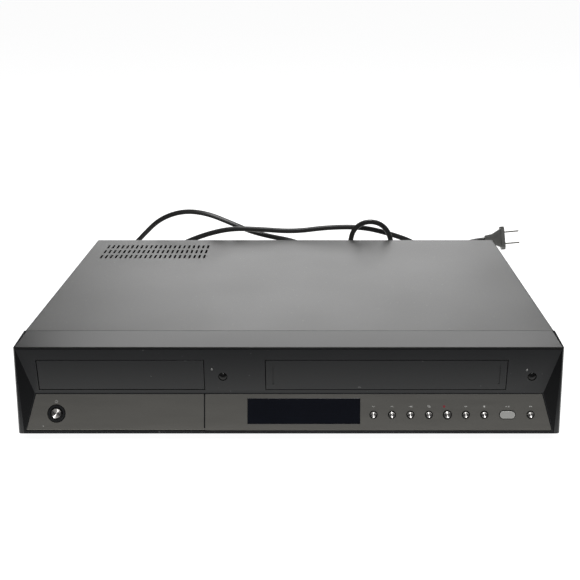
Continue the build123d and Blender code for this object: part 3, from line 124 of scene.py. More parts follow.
class Finish:
    """A material being made. Sockets that stay the same all over are set by name at the start."""

    def __init__(self, name, **sockets):
        self.material = bpy.data.materials.new(name)
        self.material.use_nodes = True
        self.tree = self.material.node_tree
        self.shader = self.tree.nodes["Principled BSDF"]
        for socket, value in sockets.items():
            self.set(socket.replace("_", " "), value)
        self.place = self.node("ShaderNodeTexCoord", out="Object")

    def set(self, socket, value):
        """Gives the shader's socket a number, a colour or a wire."""
        self.put(self.shader.inputs[socket], value)

    def put(self, socket, value):
        if isinstance(value, Wire):
            self.tree.links.new(value.socket, socket)
        elif socket.type == "RGBA" and len(value) == 3:
            socket.default_value = (*value, 1)
        else:
            socket.default_value = value

    def node(self, kind, settings=None, values=None, out=0):
        """Any node: its settings first, then the values or wires of its sockets."""
        made = self.tree.nodes.new(kind)
        for name, value in (settings or {}).items():
            if name == "stops":
                for stop, (place, colour) in zip(made.color_ramp.elements, value):
                    stop.position = place
                    stop.color = (*colour, 1)
            else:
                setattr(made, name, value)
        for name, value in (values or {}).items():
            self.put(made.inputs[name], value)
        return Wire(self, made.outputs[out])

    def noise(self, scale, detail=2.0, stretch=(1, 1, 1), rough=0.5):
        """Cloudy noise on the piece's own coordinates, from 0 to 1."""
        place = self.node("ShaderNodeMapping", None, {"Vector": self.place, "Scale": stretch})
        values = {"Vector": place, "Scale": scale, "Detail": detail, "Roughness": rough}
        return self.node("ShaderNodeTexNoise", None, values)

    def ramp(self, wire, low, high, dark=(0, 0, 0), light=(1, 1, 1)):
        """A soft step from one level of a wire to another."""
        stops = [(low, dark), (high, light)]
        return self.node("ShaderNodeValToRGB", {"stops": stops}, {"Fac": wire})

    def blend(self, factor, first, second):
        """Two colours mixed by a factor."""
        return self.node(
            "ShaderNodeMix", {"data_type": "RGBA"}, {0: factor, 6: first, 7: second}, out=2
        )

    def bump(self, height, strength, distance, below=None):
        """Relief on the surface, in metres."""
        values = {"Height": height, "Strength": strength, "Distance": distance}
        if below is not None:
            values["Normal"] = below
        return self.node("ShaderNodeBump", None, values)

    def on(self, *pieces):
        """Puts the finish on pieces as their only material."""
        for piece in pieces:
            piece.data.materials.clear()
            piece.data.materials.append(self.material)


def seen_by_camera(tree, dim, bright):
    """Shows the camera one shader and every reflection another."""
    path = tree.nodes.new("ShaderNodeLightPath")
    mixed = tree.nodes.new("ShaderNodeMixShader")
    tree.links.new(path.outputs["Is Camera Ray"], mixed.inputs[0])
    tree.links.new(dim, mixed.inputs[1])
    tree.links.new(bright, mixed.inputs[2])
    return mixed.outputs[0]


# The room is dim round the player and white behind it.
world = bpy.data.worlds.new("studio")
bpy.context.scene.world = world
world.use_nodes = True
room = world.node_tree
dim_room = room.nodes["Background"]
dim_room.inputs["Color"].default_value = (0.9, 0.9, 0.92, 1)
dim_room.inputs["Strength"].default_value = 0.095
white_wall = room.nodes.new("ShaderNodeBackground")
white_wall.inputs["Color"].default_value = (1, 1, 1, 1)
wall = seen_by_camera(room, dim_room.outputs[0], white_wall.outputs[0])
room.links.new(wall, room.nodes["World Output"].inputs["Surface"])

# The floor is white paper to the camera. In reflections it is a painted glow just before the player,
# which fades to dark further out.
floor_mesh = bpy.data.meshes.new("floor")
bm = bmesh.new()
bmesh.ops.create_circle(bm, cap_ends=True, radius=40.0, segments=96)
bm.to_mesh(floor_mesh)
bm.free()
floor = bpy.data.objects.new("floor", floor_mesh)
bpy.context.scene.collection.objects.link(floor)
paper = Finish("pale_floor", Roughness=0.9, Emission_Strength=0.93)
paper.set("Emission Color", (1, 1, 1))
paper.set("Base Color", paper.blend(paper.noise(1.5), (0.40, 0.40, 0.40), (0.44, 0.44, 0.44)))
reflected_glow = paper.tree.nodes.new("ShaderNodeEmission")
towards_viewer = (0, -1, 0)
along = {0: paper.place, 1: towards_viewer}
reach = paper.node("ShaderNodeVectorMath", {"operation": "DOT_PRODUCT"}, along, out=1)
# Painted glow: bright emission near the player that only reflections and bounced light see.
glow_fading_out = paper.ramp(reach, 0.19, 0.285, (1.4, 1.4, 1.37), (0.05, 0.05, 0.06))
paper.put(reflected_glow.inputs["Color"], glow_fading_out)
surface = seen_by_camera(paper.tree, reflected_glow.outputs[0], paper.shader.outputs[0])
paper.tree.links.new(surface, paper.tree.nodes["Material Output"].inputs["Surface"])
paper.on(floor)


# ---------------------------------------------------------------- mains lead
# A flat black lead of two rubber-covered cores. It comes out of a boot in the back panel, is
# folded loosely behind the player, and ends in a moulded plug with two flat blades.
cord_route = [
    (-0.2020, 0.1630, 0.0360),
    (-0.2020, 0.1900, 0.0360),
    (-0.1930, 0.2050, 0.0530),
    (-0.1729, 0.2020, 0.0747),
    (-0.1524, 0.1970, 0.0948),
    (-0.1255, 0.1920, 0.1050),
    (-0.0985, 0.1880, 0.1032),
    (-0.0708, 0.1850, 0.0923),
    (-0.0432, 0.1840, 0.0804),
    (0.0090, 0.1840, 0.0705),
    (0.0280, 0.1845, 0.0500),
    (0.0280, 0.1845, 0.0240),
    (0.0080, 0.1835, 0.0046),
    (-0.0300, 0.1820, 0.0036),
    (-0.0750, 0.1800, 0.0034),
    (-0.1260, 0.1780, 0.0052),
    (-0.1465, 0.1770, 0.0250),
    (-0.1465, 0.1755, 0.0530),
    (-0.1297, 0.1740, 0.0703),
    (-0.0997, 0.1720, 0.0832),
    (-0.0697, 0.1710, 0.0904),
    (-0.0369, 0.1720, 0.0888),
    (-0.0018, 0.1735, 0.0859),
    (0.0357, 0.1750, 0.0905),
    (0.0732, 0.1760, 0.0906),
    (0.1043, 0.1775, 0.0826),
    (0.1330, 0.1800, 0.0715),
    (0.1505, 0.1820, 0.0540),
    (0.1505, 0.1840, 0.0290),
    (0.1310, 0.1840, 0.0122),
    (0.1020, 0.1820, 0.0096),
    (0.0760, 0.1780, 0.0124),
    (0.0615, 0.1735, 0.0290),
    (0.0610, 0.1690, 0.0540),
    (0.0597, 0.1665, 0.0846),
    (0.0718, 0.1660, 0.0987),
    (0.0907, 0.1660, 0.0990),
    (0.1038, 0.1665, 0.0858),
    (0.1070, 0.1685, 0.0560),
    (0.1090, 0.1710, 0.0330),
    (0.1225, 0.1725, 0.0165),
    (0.1430, 0.1735, 0.0130),
    (0.1600, 0.1745, 0.0240),
    (0.1665, 0.1750, 0.0430),
    (0.1750, 0.1750, 0.0605),
    (0.1880, 0.1750, 0.0744),
    (0.2093, 0.1750, 0.0764),
]


def smooth_line(name, points, steps=8):
    """A smooth open curve that the points pull along."""
    line = bpy.data.curves.new(name, "CURVE")
    line.dimensions = "3D"
    line.resolution_u = steps
    spline = line.splines.new("NURBS")
    spline.points.add(len(points) - 1)
    for point, place in zip(spline.points, points):
        point.co = (*place, 1)
    spline.order_u = 3
    spline.use_endpoint_u = True
    piece = bpy.data.objects.new(name, line)
    bpy.context.scene.collection.objects.link(piece)
    return piece


def as_mesh(piece, name):
    """The mesh that a curve shows."""
    shape = piece.evaluated_get(bpy.context.evaluated_depsgraph_get())
    mesh = bpy.data.meshes.new_from_object(shape)
    mesh.name = name
    return mesh


cord_line = smooth_line("lead_line", cord_route)
bpy.context.view_layer.update()
cord_path = [vertex.co.copy() for vertex in as_mesh(cord_line, "lead_path").vertices]

# Two round cores side by side, with a shallow groove between them.
core_radius = 0.00150
core_offset = 0.00125
section = bpy.data.curves.new("lead_section", "CURVE")
section.dimensions = "2D"
ring = section.splines.new("POLY")
outline = []
for side in (1, -1):
    for step in range(9):
        turn = radians(-80 + 20 * step) + (0 if side > 0 else pi)
        outline.append((side * core_offset + core_radius * cos(turn), core_radius * sin(turn)))
ring.points.add(len(outline) - 1)
for point, (x, y) in zip(ring.points, outline):
    point.co = (x, y, 0, 1)
ring.use_cyclic_u = True
section_holder = bpy.data.objects.new("lead_section", section)
bpy.context.scene.collection.objects.link(section_holder)
cord_line.data.bevel_mode = "OBJECT"
cord_line.data.bevel_object = section_holder
cord_line.data.use_fill_caps = True
cord_line.data.twist_mode = "MINIMUM"
bpy.context.view_layer.update()
lead = bpy.data.objects.new("mains_lead", as_mesh(cord_line, "mains_lead"))
bpy.context.scene.collection.objects.link(lead)
bpy.data.objects.remove(cord_line)
bpy.data.objects.remove(section_holder)
lead.data.shade_smooth()

rubber = Finish("black_flex", Roughness=0.42, IOR=1.5)
smears = rubber.noise(90, 3)
rubber.set("Base Color", rubber.blend(smears, (0.016, 0.016, 0.016), (0.030, 0.030, 0.029)))
rubber.set("Roughness", smears * 0.2 + 0.22)
rubber.set("Normal", rubber.bump(rubber.noise(1400, 2), 0.25, 0.0001))
rubber.on(lead)
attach(lead, "player")
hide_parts("power_cord")


slot_of = {row["node"]: row["material_slot"] for row in frame["record"]["subparts"]}


def settle(bm, name, body, slot, sharp=40):
    """Turns a finished bmesh into a piece that rides on a body."""
    bmesh.ops.remove_doubles(bm, verts=bm.verts, dist=1e-7)
    bmesh.ops.recalc_face_normals(bm, faces=bm.faces)
    mesh = bpy.data.meshes.new(name)
    bm.to_mesh(mesh)
    bm.free()
    mesh.shade_smooth()
    mesh.set_sharp_from_angle(angle=radians(sharp))
    piece = bpy.data.objects.new(name, mesh)
    bpy.context.scene.collection.objects.link(piece)
    shading = piece.modifiers.new("flat_faces_stay_flat", "WEIGHTED_NORMAL")
    shading.keep_sharp = True
    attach(piece, body)
    return piece


def rounded_copy(node, radius, segments=2, angle=30, reshape=None):
    """A copy of a CAD node with its sharp edges rounded, which stands for the node."""
    bm = bmesh.new()
    bm.from_mesh(frame["nodes"][node].data)
    bmesh.ops.remove_doubles(bm, verts=bm.verts, dist=2e-6)
    bmesh.ops.dissolve_limit(bm, angle_limit=radians(0.5), verts=bm.verts, edges=bm.edges)
    if reshape:
        reshape(bm)
    bmesh.ops.bevel(
        bm,
        geom=[edge for edge in bm.edges if edge.calc_face_angle(0) > radians(angle)],
        offset=radius,
        segments=segments,
        profile=0.5,
        affect="EDGES",
        clamp_overlap=True,
        material=-1,
    )
    piece = settle(bm, node + "_skin", frame["nodes"][node]["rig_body"], slot_of[node], 70)
    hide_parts(node)
    return piece


def turned(bm, profile, place, steps=64):
    """Spins (radius, height) points round the axis of a place."""
    points = [bm.verts.new((radius, 0, height)) for radius, height in profile]
    edges = [bm.edges.new(pair) for pair in zip(points, points[1:])]
    before = set(bm.verts) - set(points)
    bmesh.ops.spin(bm, geom=points + edges, axis=(0, 0, 1), steps=steps, angle=2 * pi, use_merge=True)
    bmesh.ops.transform(bm, matrix=place, verts=[vert for vert in bm.verts if vert not in before])


# The plug is moulded on to the lead in greyer vinyl.
plug = rounded_copy("power_plug", 0.0006, 3)
vinyl = Finish("plug_vinyl", IOR=1.5)
handled = vinyl.noise(160, 3)
vinyl.set("Base Color", vinyl.blend(handled, (0.065, 0.065, 0.061), (0.110, 0.110, 0.104)))
vinyl.set("Roughness", handled * 0.15 + 0.34)
vinyl.set("Normal", vinyl.bump(vinyl.noise(1500, 2), 0.2, 0.0001))
vinyl.on(plug)

# Its blades are nickel-plated brass, dull with use: all that lies beyond the flange.
flange_from_lead = 0.0212
tarnish = Finish("tarnished_nickel", Metallic=1.0)
stains = tarnish.noise(500, 3)
tarnish.set("Base Color", tarnish.blend(stains, (0.13, 0.125, 0.11), (0.22, 0.215, 0.19)))
tarnish.set("Roughness", stains * 0.2 + 0.36)
plug.data.materials.append(tarnish.material)
plug_axis = (Vector(cord_route[-1]) - Vector(cord_route[-2])).normalized()
lead_end = Vector(cord_route[-1])
for face in plug.data.polygons:
    if (face.center - lead_end).dot(plug_axis) > flange_from_lead:
        face.material_index = 1

# The boot is a ribbed taper that snaps into the back panel.
boot_seat = Matrix.Translation((-0.2020, 0.1530, 0.0360)) @ Matrix.Rotation(-pi / 2, 4, "X")
boot_length = 0.0240
boot_ribs = 6
boot_profile = [(0, -0.0050), (0.0058, -0.0050), (0.0058, -0.0022), (0.0049, -0.0021), (0.0049, 0)]
boot_profile += [(0.0070, 0.0001), (0.0070, 0.0016), (0.0066, 0.0020)]
for rib in range(boot_ribs):
    low = 0.0030 + rib * (boot_length - 0.0040) / boot_ribs
    wall = 0.0050 - 0.0015 * low / boot_length
    groove = wall - 0.0007
    boot_profile += [(wall, low), (wall, low + 0.0016), (groove, low + 0.0019), (groove, low + 0.0027)]
boot_profile += [(0.0035, boot_length - 0.0010), (0.0032, boot_length), (0, boot_length)]
bm = bmesh.new()
turned(bm, boot_profile, boot_seat)
boot = settle(bm, "lead_boot", "player", "cord_rubber")
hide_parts("cord_bushing")
rubber.on(boot)


# ---------------------------------------------------------------- top cover and back panel
# A folded steel sheet in black paint with a fine texture. It reaches down both sides, and
# three rows of slots are pressed through it over the power supply.
black_coat = Finish("textured_paint", IOR=1.5)
grain = black_coat.noise(2600, 2)
patches = black_coat.noise(9, 3)
specks = black_coat.ramp(black_coat.noise(520, 1), 0.72, 0.78)
coat_colour = black_coat.blend(patches, (0.030, 0.030, 0.028), (0.040, 0.040, 0.037))
black_coat.set("Base Color", black_coat.blend(specks * 0.5, coat_colour, (0.22, 0.22, 0.20)))
black_coat.set("Roughness", patches * 0.10 + 0.40)
black_coat.set("Normal", black_coat.bump(grain, 0.35, 0.00012))
cover = rounded_copy("top_cover", 0.0002)
black_coat.on(cover)
back_panel = rounded_copy("rear_panel", 0.0001)
black_coat.on(back_panel)


# ---------------------------------------------------------------- case screws
# Black self-tapping screws with a domed head and a cross recess: two in each side of the
# cover and three in the back panel.
screw_places = [(side * 0.2150, y, 0.0180, side) for side in (-1, 1) for y in (-0.1031, 0.1350)]
screw_places += [(x, 0.1530, 0.0600, 0) for x in (-0.1500, 0.0400, 0.1500)]
head_radius = 0.0034
head_height = 0.0014
arm_length = 0.0017
arm_half = 0.0004
recess = 0.0009


def of_kind(kind, items):
    """The items of one kind in a list of mixed geometry."""
    return [item for item in items if isinstance(item, kind)]


def cross_screw(bm, place):
    """The head of a screw: a ring round a sunk cross, and the rounded side."""
    before = set(bm.verts)
    rim = bmesh.ops.create_circle(bm, segments=24, radius=head_radius - 0.0006)["verts"]
    corners = []
    for quarter in range(4):
        turn = Matrix.Rotation(quarter * pi / 2, 3, "Z")
        for corner in ((arm_half, arm_half, 0), (arm_length, arm_half, 0), (arm_length, -arm_half, 0)):
            corners.append(bm.verts.new(turn.inverted() @ Vector(corner)))
    cross = [bm.edges.new(pair) for pair in zip(corners, corners[1:] + corners[:1])]
    ring = list({edge for vert in rim for edge in vert.link_edges})
    bmesh.ops.triangle_fill(bm, use_beauty=True, edges=ring + cross)
    sunk = bmesh.ops.extrude_edge_only(bm, edges=cross)["geom"]
    bmesh.ops.translate(bm, vec=(0, 0, -recess), verts=of_kind(bmesh.types.BMVert, sunk))
    bmesh.ops.contextual_create(bm, geom=of_kind(bmesh.types.BMEdge, sunk))
    for grow, drop in ((1.22, 0.0005), (1.0, head_height - 0.0005)):
        side = bmesh.ops.extrude_edge_only(bm, edges=ring)["geom"]
        verts = of_kind(bmesh.types.BMVert, side)
        bmesh.ops.scale(bm, vec=(grow, grow, 1), verts=verts)
        bmesh.ops.translate(bm, vec=(0, 0, -drop), verts=verts)
        ring = of_kind(bmesh.types.BMEdge, side)
    lifted = place @ Matrix.Translation((0, 0, head_height))
    bmesh.ops.transform(bm, matrix=lifted, verts=[vert for vert in bm.verts if vert not in before])


bm = bmesh.new()
for x, y, z, side in screw_places:
    facing = Matrix.Rotation(side * pi / 2, 4, "Y") if side else Matrix.Rotation(-pi / 2, 4, "X")
    cross_screw(bm, Matrix.Translation((x, y, z)) @ facing)
screws = settle(bm, "cross_screws", "player", "black_screw", 50)
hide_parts("case_screws")
black_zinc = Finish("black_zinc", Metallic=0.8, IOR=1.5)
wear = black_zinc.noise(900, 3)
black_zinc.set("Base Color", black_zinc.blend(wear, (0.02, 0.02, 0.022), (0.07, 0.07, 0.075)))
black_zinc.set("Roughness", wear * 0.3 + 0.25)
black_zinc.on(screws)


# ---------------------------------------------------------------- feet
# Four round rubber feet, each with a hollow for its screw.
foot_profile = [(0, 0.0040), (0.0045, 0.0040), (0.0048, 0.0004), (0.0052, 0), (0.0106, 0)]
foot_profile += [(0.0112, 0.0004), (0.0130, 0.0030), (0.0130, 0.0086), (0.0126, 0.0090), (0, 0.0090)]
bm = bmesh.new()
for x in (-0.1750, 0.1750):
    for y in (-0.1070, 0.1270):
        turned(bm, foot_profile, Matrix.Translation((x, y, 0)))
feet = settle(bm, "rubber_feet", "player", "rubber_foot")
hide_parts("feet")
foot_rubber = Finish("foot_rubber", IOR=1.5)
chalk = foot_rubber.noise(300, 4)
foot_rubber.set("Base Color", foot_rubber.blend(chalk, (0.012, 0.012, 0.012), (0.03, 0.03, 0.029)))
foot_rubber.set("Roughness", chalk * 0.15 + 0.7)
foot_rubber.set("Normal", foot_rubber.bump(chalk, 0.3, 0.0001))
foot_rubber.on(feet)


# ---------------------------------------------------------------- front bezel and trim
# A moulded black front with a hollow of two slanted faces, and a separate strip on top.
black_mould = Finish("moulded_black", IOR=1.5)
haze = black_mould.noise(14, 4)
dust = black_mould.ramp(black_mould.noise(330, 1), 0.76, 0.80)
mould_colour = black_mould.blend(haze, (0.0070, 0.0077, 0.0088), (0.0105, 0.0112, 0.0128))
black_mould.set("Base Color", black_mould.blend(dust * 0.35, mould_colour, (0.2, 0.2, 0.2)))
black_mould.set("Roughness", haze * 0.12 + 0.30)
black_mould.set("Normal", black_mould.bump(black_mould.noise(3000, 2), 0.10, 0.00006))


bezel_half = 0.2150
bezel_bottom = 0.0090
brow_lift = 0.0029
brow_end_lift = 0.0012
brow_lean = -0.084
corner_radius = 0.0020


def raise_brow(bm):
    """Lifts the front edge of the top along the upper face, and less at both ends."""
    for vert in bm.verts:
        if vert.co.y < -0.1500 and vert.co.z > 0.0735:
            lift = brow_lift if abs(vert.co.x) < bezel_half - 0.0010 else brow_end_lift
            vert.co += Vector((0, brow_lean, 1)) * lift


def shape_bezel(bm):
    """Lifts the brow and rounds the lower outer corners, as seen from the front."""
    raise_brow(bm)
    corners = []
    for edge in bm.edges:
        middle = (edge.verts[0].co + edge.verts[1].co) / 2
        span = edge.verts[0].co - edge.verts[1].co
        at_corner = abs(middle.x) > bezel_half - 0.0002 and middle.z < bezel_bottom + 0.0002
        if at_corner and abs(span.y) > 0.01:
            corners.append(edge)
    bmesh.ops.bevel(
        bm,
        geom=corners,
        offset=corner_radius,
        segments=5,
        profile=0.5,
        affect="EDGES",
        material=-1,
    )


bezel = rounded_copy("front_bezel", 0.00025, reshape=shape_bezel)
black_mould.on(bezel)

# The slanted cheeks at both ends of the hollow are rougher, and coloured darker than the rest of the
# moulding as painted shade.
cheek_from = 0.1900
darkened_cheeks = Finish("shaded_cheeks", IOR=1.22)
cheek_haze = darkened_cheeks.noise(16, 4)
# This darker base colour is painted shade, not a different plastic.
darkened_cheeks.set("Base Color", darkened_cheeks.blend(cheek_haze, (0.0045, 0.0047, 0.0052), (0.0080, 0.0084, 0.0092)))
darkened_cheeks.set("Roughness", cheek_haze * 0.12 + 0.42)
bezel.data.materials.append(darkened_cheeks.material)
for face in bezel.data.polygons:
    leans_in = face.normal.y < -0.3 and face.normal.x * face.center.x < -0.02
    if leans_in and abs(face.center.x) > cheek_from:
        face.material_index = 1

strip = Finish("satin_strip", IOR=1.24)
strip_haze = strip.noise(22, 3, (0.3, 1, 1))
strip.set("Base Color", strip.blend(strip_haze, (0.012, 0.012, 0.012), (0.020, 0.020, 0.019)))
strip.set("Roughness", strip_haze * 0.08 + 0.26)
strip.set("Normal", strip.bump(strip.noise(2400, 2), 0.12, 0.00008))
trim = rounded_copy("front_top_trim", 0.0003, reshape=raise_brow)
strip.on(trim)


# ---------------------------------------------------------------- doors
# The tray door and the cassette door are moulded like the bezel, with a slightly paler coat.
door_coat = Finish("door_coat", IOR=1.5)
door_haze = door_coat.noise(20, 4, (0.4, 1, 1))
door_dust = door_coat.ramp(door_coat.noise(300, 1), 0.77, 0.80)
door_colour = door_coat.blend(door_haze, (0.0100, 0.0106, 0.0115), (0.0145, 0.0152, 0.0165))
door_coat.set("Base Color", door_coat.blend(door_dust * 0.35, door_colour, (0.2, 0.2, 0.2)))
door_coat.set("Roughness", door_haze * 0.12 + 0.32)
door_coat.set("Normal", door_coat.bump(door_coat.noise(2800, 2), 0.12, 0.00006))
tray_door = rounded_copy("disc_tray_door", 0.0003)
cassette_door = rounded_copy("cassette_door", 0.0003)
door_coat.on(tray_door, cassette_door)


# ---------------------------------------------------------------- control panel and flap
# The lower panels have a warm grey metallic paint with a fine grain along the player.
grey_paint = Finish("warm_grey_paint", IOR=1.5, Metallic=0.35)
streaks = grey_paint.noise(160, 3, (0.12, 1, 1))
clouds = grey_paint.noise(18, 3)
grey_colour = grey_paint.blend(streaks, (0.112, 0.109, 0.100), (0.136, 0.132, 0.121))
grey_paint.set("Base Color", grey_paint.blend(clouds * 0.5, grey_colour, (0.118, 0.115, 0.106)))
grey_paint.set("Roughness", streaks * 0.12 + 0.36)
grey_paint.set("Normal", grey_paint.bump(grey_paint.noise(1800, 2), 0.15, 0.00006))


split_x = -0.0670
split_width = 0.0003


def widen_split(bm):
    """Draws both panels back a little from the line between them."""
    for vert in bm.verts:
        past = vert.co.x - split_x
        if abs(past) < 0.0008:
            vert.co.x += split_width if past > 0 else -split_width


panel = rounded_copy("control_panel", 0.0005, reshape=widen_split)
flap = rounded_copy("av_flap", 0.0005, reshape=widen_split)
grey_paint.on(panel, flap)

# The lip of the bezel below both has the same paint.
lip_top = 0.0117
lip_back = -0.1585
lip_half = 0.2080
bezel.data.materials.append(grey_paint.material)
for face in bezel.data.polygons:
    x, y, z = face.center
    if z < lip_top and y < lip_back and abs(x) < lip_half and face.normal.y < -0.3:
        face.material_index = 2


# ---------------------------------------------------------------- display
# A polished smoked window, with the glass display tube dark behind it.
smoked = Finish("smoked_window", IOR=1.5)
film = smoked.noise(40, 3)
smoked.set("Base Color", smoked.blend(film, (0.0022, 0.0028, 0.0055), (0.004, 0.005, 0.009)))
smoked.set("Roughness", film * 0.08 + 0.05)
window = rounded_copy("display_window", 0.0002)
smoked.on(window)

tube_glass = Finish("tube_glass", Roughness=0.06)
grid_lines = tube_glass.noise(120, 2, (1, 0.2, 1))
tube_glass.set("Base Color", tube_glass.blend(grid_lines, (0.02, 0.024, 0.028), (0.05, 0.058, 0.062)))
tube_glass.on(frame["nodes"]["display_tube"])


# ---------------------------------------------------------------- round buttons
# Each key on the lower face is a black button with a dish of spun metal let into it, turned in
# fine rings. The power key is the same, larger, in a black collar. Behind the panel each has a
# flange and a stem.
crease = Vector((0, -0.15185, 0.0395))
upper_face = Matrix.Translation(crease) @ Matrix.Rotation(pi / 2 + atan2(0.00315, 0.0375), 4, "X")
lower_face = Matrix.Translation(crease) @ Matrix.Rotation(pi / 2 - atan2(0.01015, 0.0305), 4, "X")
row_v = -0.0173
small_keys = ["channel_down", "channel_up", "source", "copy", "record", "rewind", "stop"]
key_x = {name: 0.0670 + index * 0.01465 for index, name in enumerate(small_keys)}
key_x["forward"] = 0.1916
key_radius = {name: 0.00285 for name in key_x}
key_radius["record"] = 0.0033
power_place = (-0.1846, -0.0163)
stem_radius = 0.0015


def shank(radius, flange_at, stem_end):
    """What a key has behind its face: its side, a flange and a stem."""
    return [
        (radius, -flange_at),
        (radius + 0.001, -flange_at),
        (radius + 0.001, -flange_at - 0.001),
        (stem_radius, -flange_at - 0.001),
        (stem_radius, -stem_end),
        (0, -stem_end),
    ]


gloss_black = Finish("gloss_black", IOR=1.32)
bloom = gloss_black.noise(400, 2)
gloss_black.set("Base Color", gloss_black.blend(bloom, (0.004, 0.004, 0.004), (0.010, 0.010, 0.010)))
gloss_black.set("Roughness", bloom * 0.08 + 0.1)

spun_metal = Finish("spun_metal", Metallic=1.0)
tone = spun_metal.noise(900, 2)
spun_metal.set("Base Color", spun_metal.blend(tone, (0.32, 0.31, 0.30), (0.42, 0.41, 0.40)))
spun_metal.set("Roughness", tone * 0.08 + 0.20)


def ringed_key(name, x, v, radius, flange_at):
    """A round black key with a shallow metal dish of fine rings."""
    rings = 13
    proud = 0.0006
    sunk = 0.0002
    dish = 0.0001
    lip = radius * 0.80
    ring_slope = 0.33
    ridge = ring_slope * lip / rings
    profile = []
    for ring in range(rings):
        out = ring / rings
        profile.append((lip * out, proud - sunk - dish * (1 - out) + ridge * (ring % 2)))
    profile += [(lip, proud - 0.0001), (lip + 0.00005, proud)]
    profile += [(radius - 0.0002, proud), (radius, proud - 0.0002)]
    place = lower_face @ Matrix.Translation((x, v, 0))
    bm = bmesh.new()
    turned(bm, profile + shank(radius, flange_at, 0.0065), place)
    key = settle(bm, name + "_key", name + "_button", slot_of[name + "_button"], 14)
    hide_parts(name + "_button")
    gloss_black.on(key)
    key.data.materials.append(spun_metal.material)
    inwards = place.inverted()
    for face in key.data.polygons:
        spot = inwards @ face.center
        if spot.z > 0 and spot.xy.length < lip:
            face.material_index = 1


for name, x in key_x.items():
    ringed_key(name, x, row_v, key_radius[name], 0.00215)
ringed_key("power", *power_place, 0.0047, 0.00415)


# ---------------------------------------------------------------- play, open and eject buttons
# The play key is a long oval in silver paint. The keys for the tray and the cassette are small
# glossy black domes.
play_x = 0.17325
silver = Finish("silver_paint", Metallic=0.5, IOR=1.5)
flakes = silver.noise(1500, 2)
silver.set("Base Color", silver.blend(flakes, (0.46, 0.46, 0.44), (0.54, 0.54, 0.52)))
silver.set("Roughness", flakes * 0.1 + 0.38)
play_key = rounded_copy("play_button", 0.0004, 3)
silver.on(play_key)
play_key.data.materials.append(black_mould.material)
outward = lower_face.to_3x3() @ Vector((0, 0, 1))
for face in play_key.data.polygons:
    if face.normal.dot(outward) < 0.75:
        face.material_index = 1

upper_keys = {"open_close": -0.0520, "eject": 0.1916}
upper_row_v = 0.0146
dome_radius = 0.0032
dome_height = 0.0010
dome_steps = 8
for name, x in upper_keys.items():
    dome = []
    for step in range(dome_steps + 1):
        turn = step / dome_steps * pi / 2
        dome.append((dome_radius * sin(turn), dome_height * cos(turn) - 0.0004 * sin(turn)))
    bm = bmesh.new()
    place = upper_face @ Matrix.Translation((x, upper_row_v, 0))
    turned(bm, dome + shank(dome_radius, 0.00255, 0.0044), place)
    key = settle(bm, name + "_key", name + "_button", slot_of[name + "_button"])
    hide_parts(name + "_button")
    gloss_black.on(key)


# ---------------------------------------------------------------- printed symbols
# Screen-printed signs in pale grey above the keys, with a red dot over the record key.
ink_lift = 0.00004
sign_v = -0.0107


def flat_sign(bm, face, x, v, corners, wide, tall, turn=0.0):
    """A disc, or with few corners a triangle that points up before its turn."""
    place = face @ Matrix.Translation((x, v, ink_lift)) @ Matrix.Rotation(turn, 4, "Z")
    size = Matrix.Diagonal((wide, tall, 1, 1))
    bmesh.ops.create_circle(bm, cap_ends=True, radius=0.5, segments=corners, matrix=place @ size)


def stroke(bm, face, x, v, wide, tall, turn=0.0):
    """A straight bar."""
    place = face @ Matrix.Translation((x, v, ink_lift)) @ Matrix.Rotation(turn, 4, "Z")
    size = Matrix.Diagonal((wide, tall, 1, 1))
    bmesh.ops.create_grid(bm, x_segments=1, y_segments=1, size=0.5, matrix=place @ size)


def ring_arc(bm, face, x, v, radius, line, start, sweep):
    """Part of a ring."""
    before = set(bm.verts)
    out = Vector((cos(start), sin(start), 0))
    ends = [bm.verts.new(out * radius), bm.verts.new(out * (radius + line))]
    edge = bm.edges.new(ends)
    bmesh.ops.spin(bm, geom=[*ends, edge], axis=(0, 0, 1), steps=24, angle=sweep)
    place = face @ Matrix.Translation((x, v, ink_lift))
    bmesh.ops.transform(bm, matrix=place, verts=[vert for vert in bm.verts if vert not in before])


def square_outline(bm, face, x, v, side, line):
    """Four bars round a square."""
    for sign in (-1, 1):
        stroke(bm, face, x, v + sign * side / 2, side + line, line)
        stroke(bm, face, x + sign * side / 2, v, line, side + line)


def printed(bm, name, body, slot):
    """Gives the flat signs their thickness of ink."""
    bmesh.ops.solidify(bm, geom=bm.faces[:], thickness=0.00003)
    return settle(bm, name, body, slot)


small = 0.0013
bm = bmesh.new()
for sign, name in ((1, "channel_down"), (-1, "channel_up")):
    for side in (-1, 1):
        lean = side * sign * radians(38)
        stroke(bm, lower_face, key_x[name] + side * 0.0005, sign_v, 0.0014, 0.00028, lean)
stroke(bm, lower_face, key_x["source"] - 0.0006, sign_v, 0.0014, 0.0003)
flat_sign(bm, lower_face, key_x["source"] + 0.0004, sign_v, 3, small, small, -pi / 2)
stroke(bm, lower_face, key_x["source"] + 0.0012, sign_v, 0.0003, 0.0016)
square_outline(bm, lower_face, key_x["copy"] - 0.0004, sign_v + 0.0003, 0.0012, 0.00022)
square_outline(bm, lower_face, key_x["copy"] + 0.0004, sign_v - 0.0003, 0.0012, 0.00022)
for side in (-1, 1):
    flat_sign(bm, lower_face, key_x["rewind"] + side * 0.0006, sign_v, 3, small, small, pi / 2)
    flat_sign(bm, lower_face, key_x["forward"] + side * 0.0006, sign_v, 3, small, small, -pi / 2)
stroke(bm, lower_face, key_x["stop"], sign_v, 0.0013, 0.0013)
flat_sign(bm, lower_face, play_x - 0.0010, sign_v, 3, small, small, -pi / 2)
for place in (0.0006, 0.0013):
    stroke(bm, lower_face, play_x + place, sign_v, 0.0003, 0.0012)
lower_signs = printed(bm, "lower_signs", "player", "black_plastic")

bm = bmesh.new()
for x, v in ((-0.0605, 0.0213), (0.1871, 0.0206)):
    flat_sign(bm, upper_face, x, v + 0.0003, 3, 0.0017, 0.0014)
    stroke(bm, upper_face, x, v - 0.0007, 0.0015, 0.0003)
upper_signs = printed(bm, "upper_signs", "player", "black_plastic")

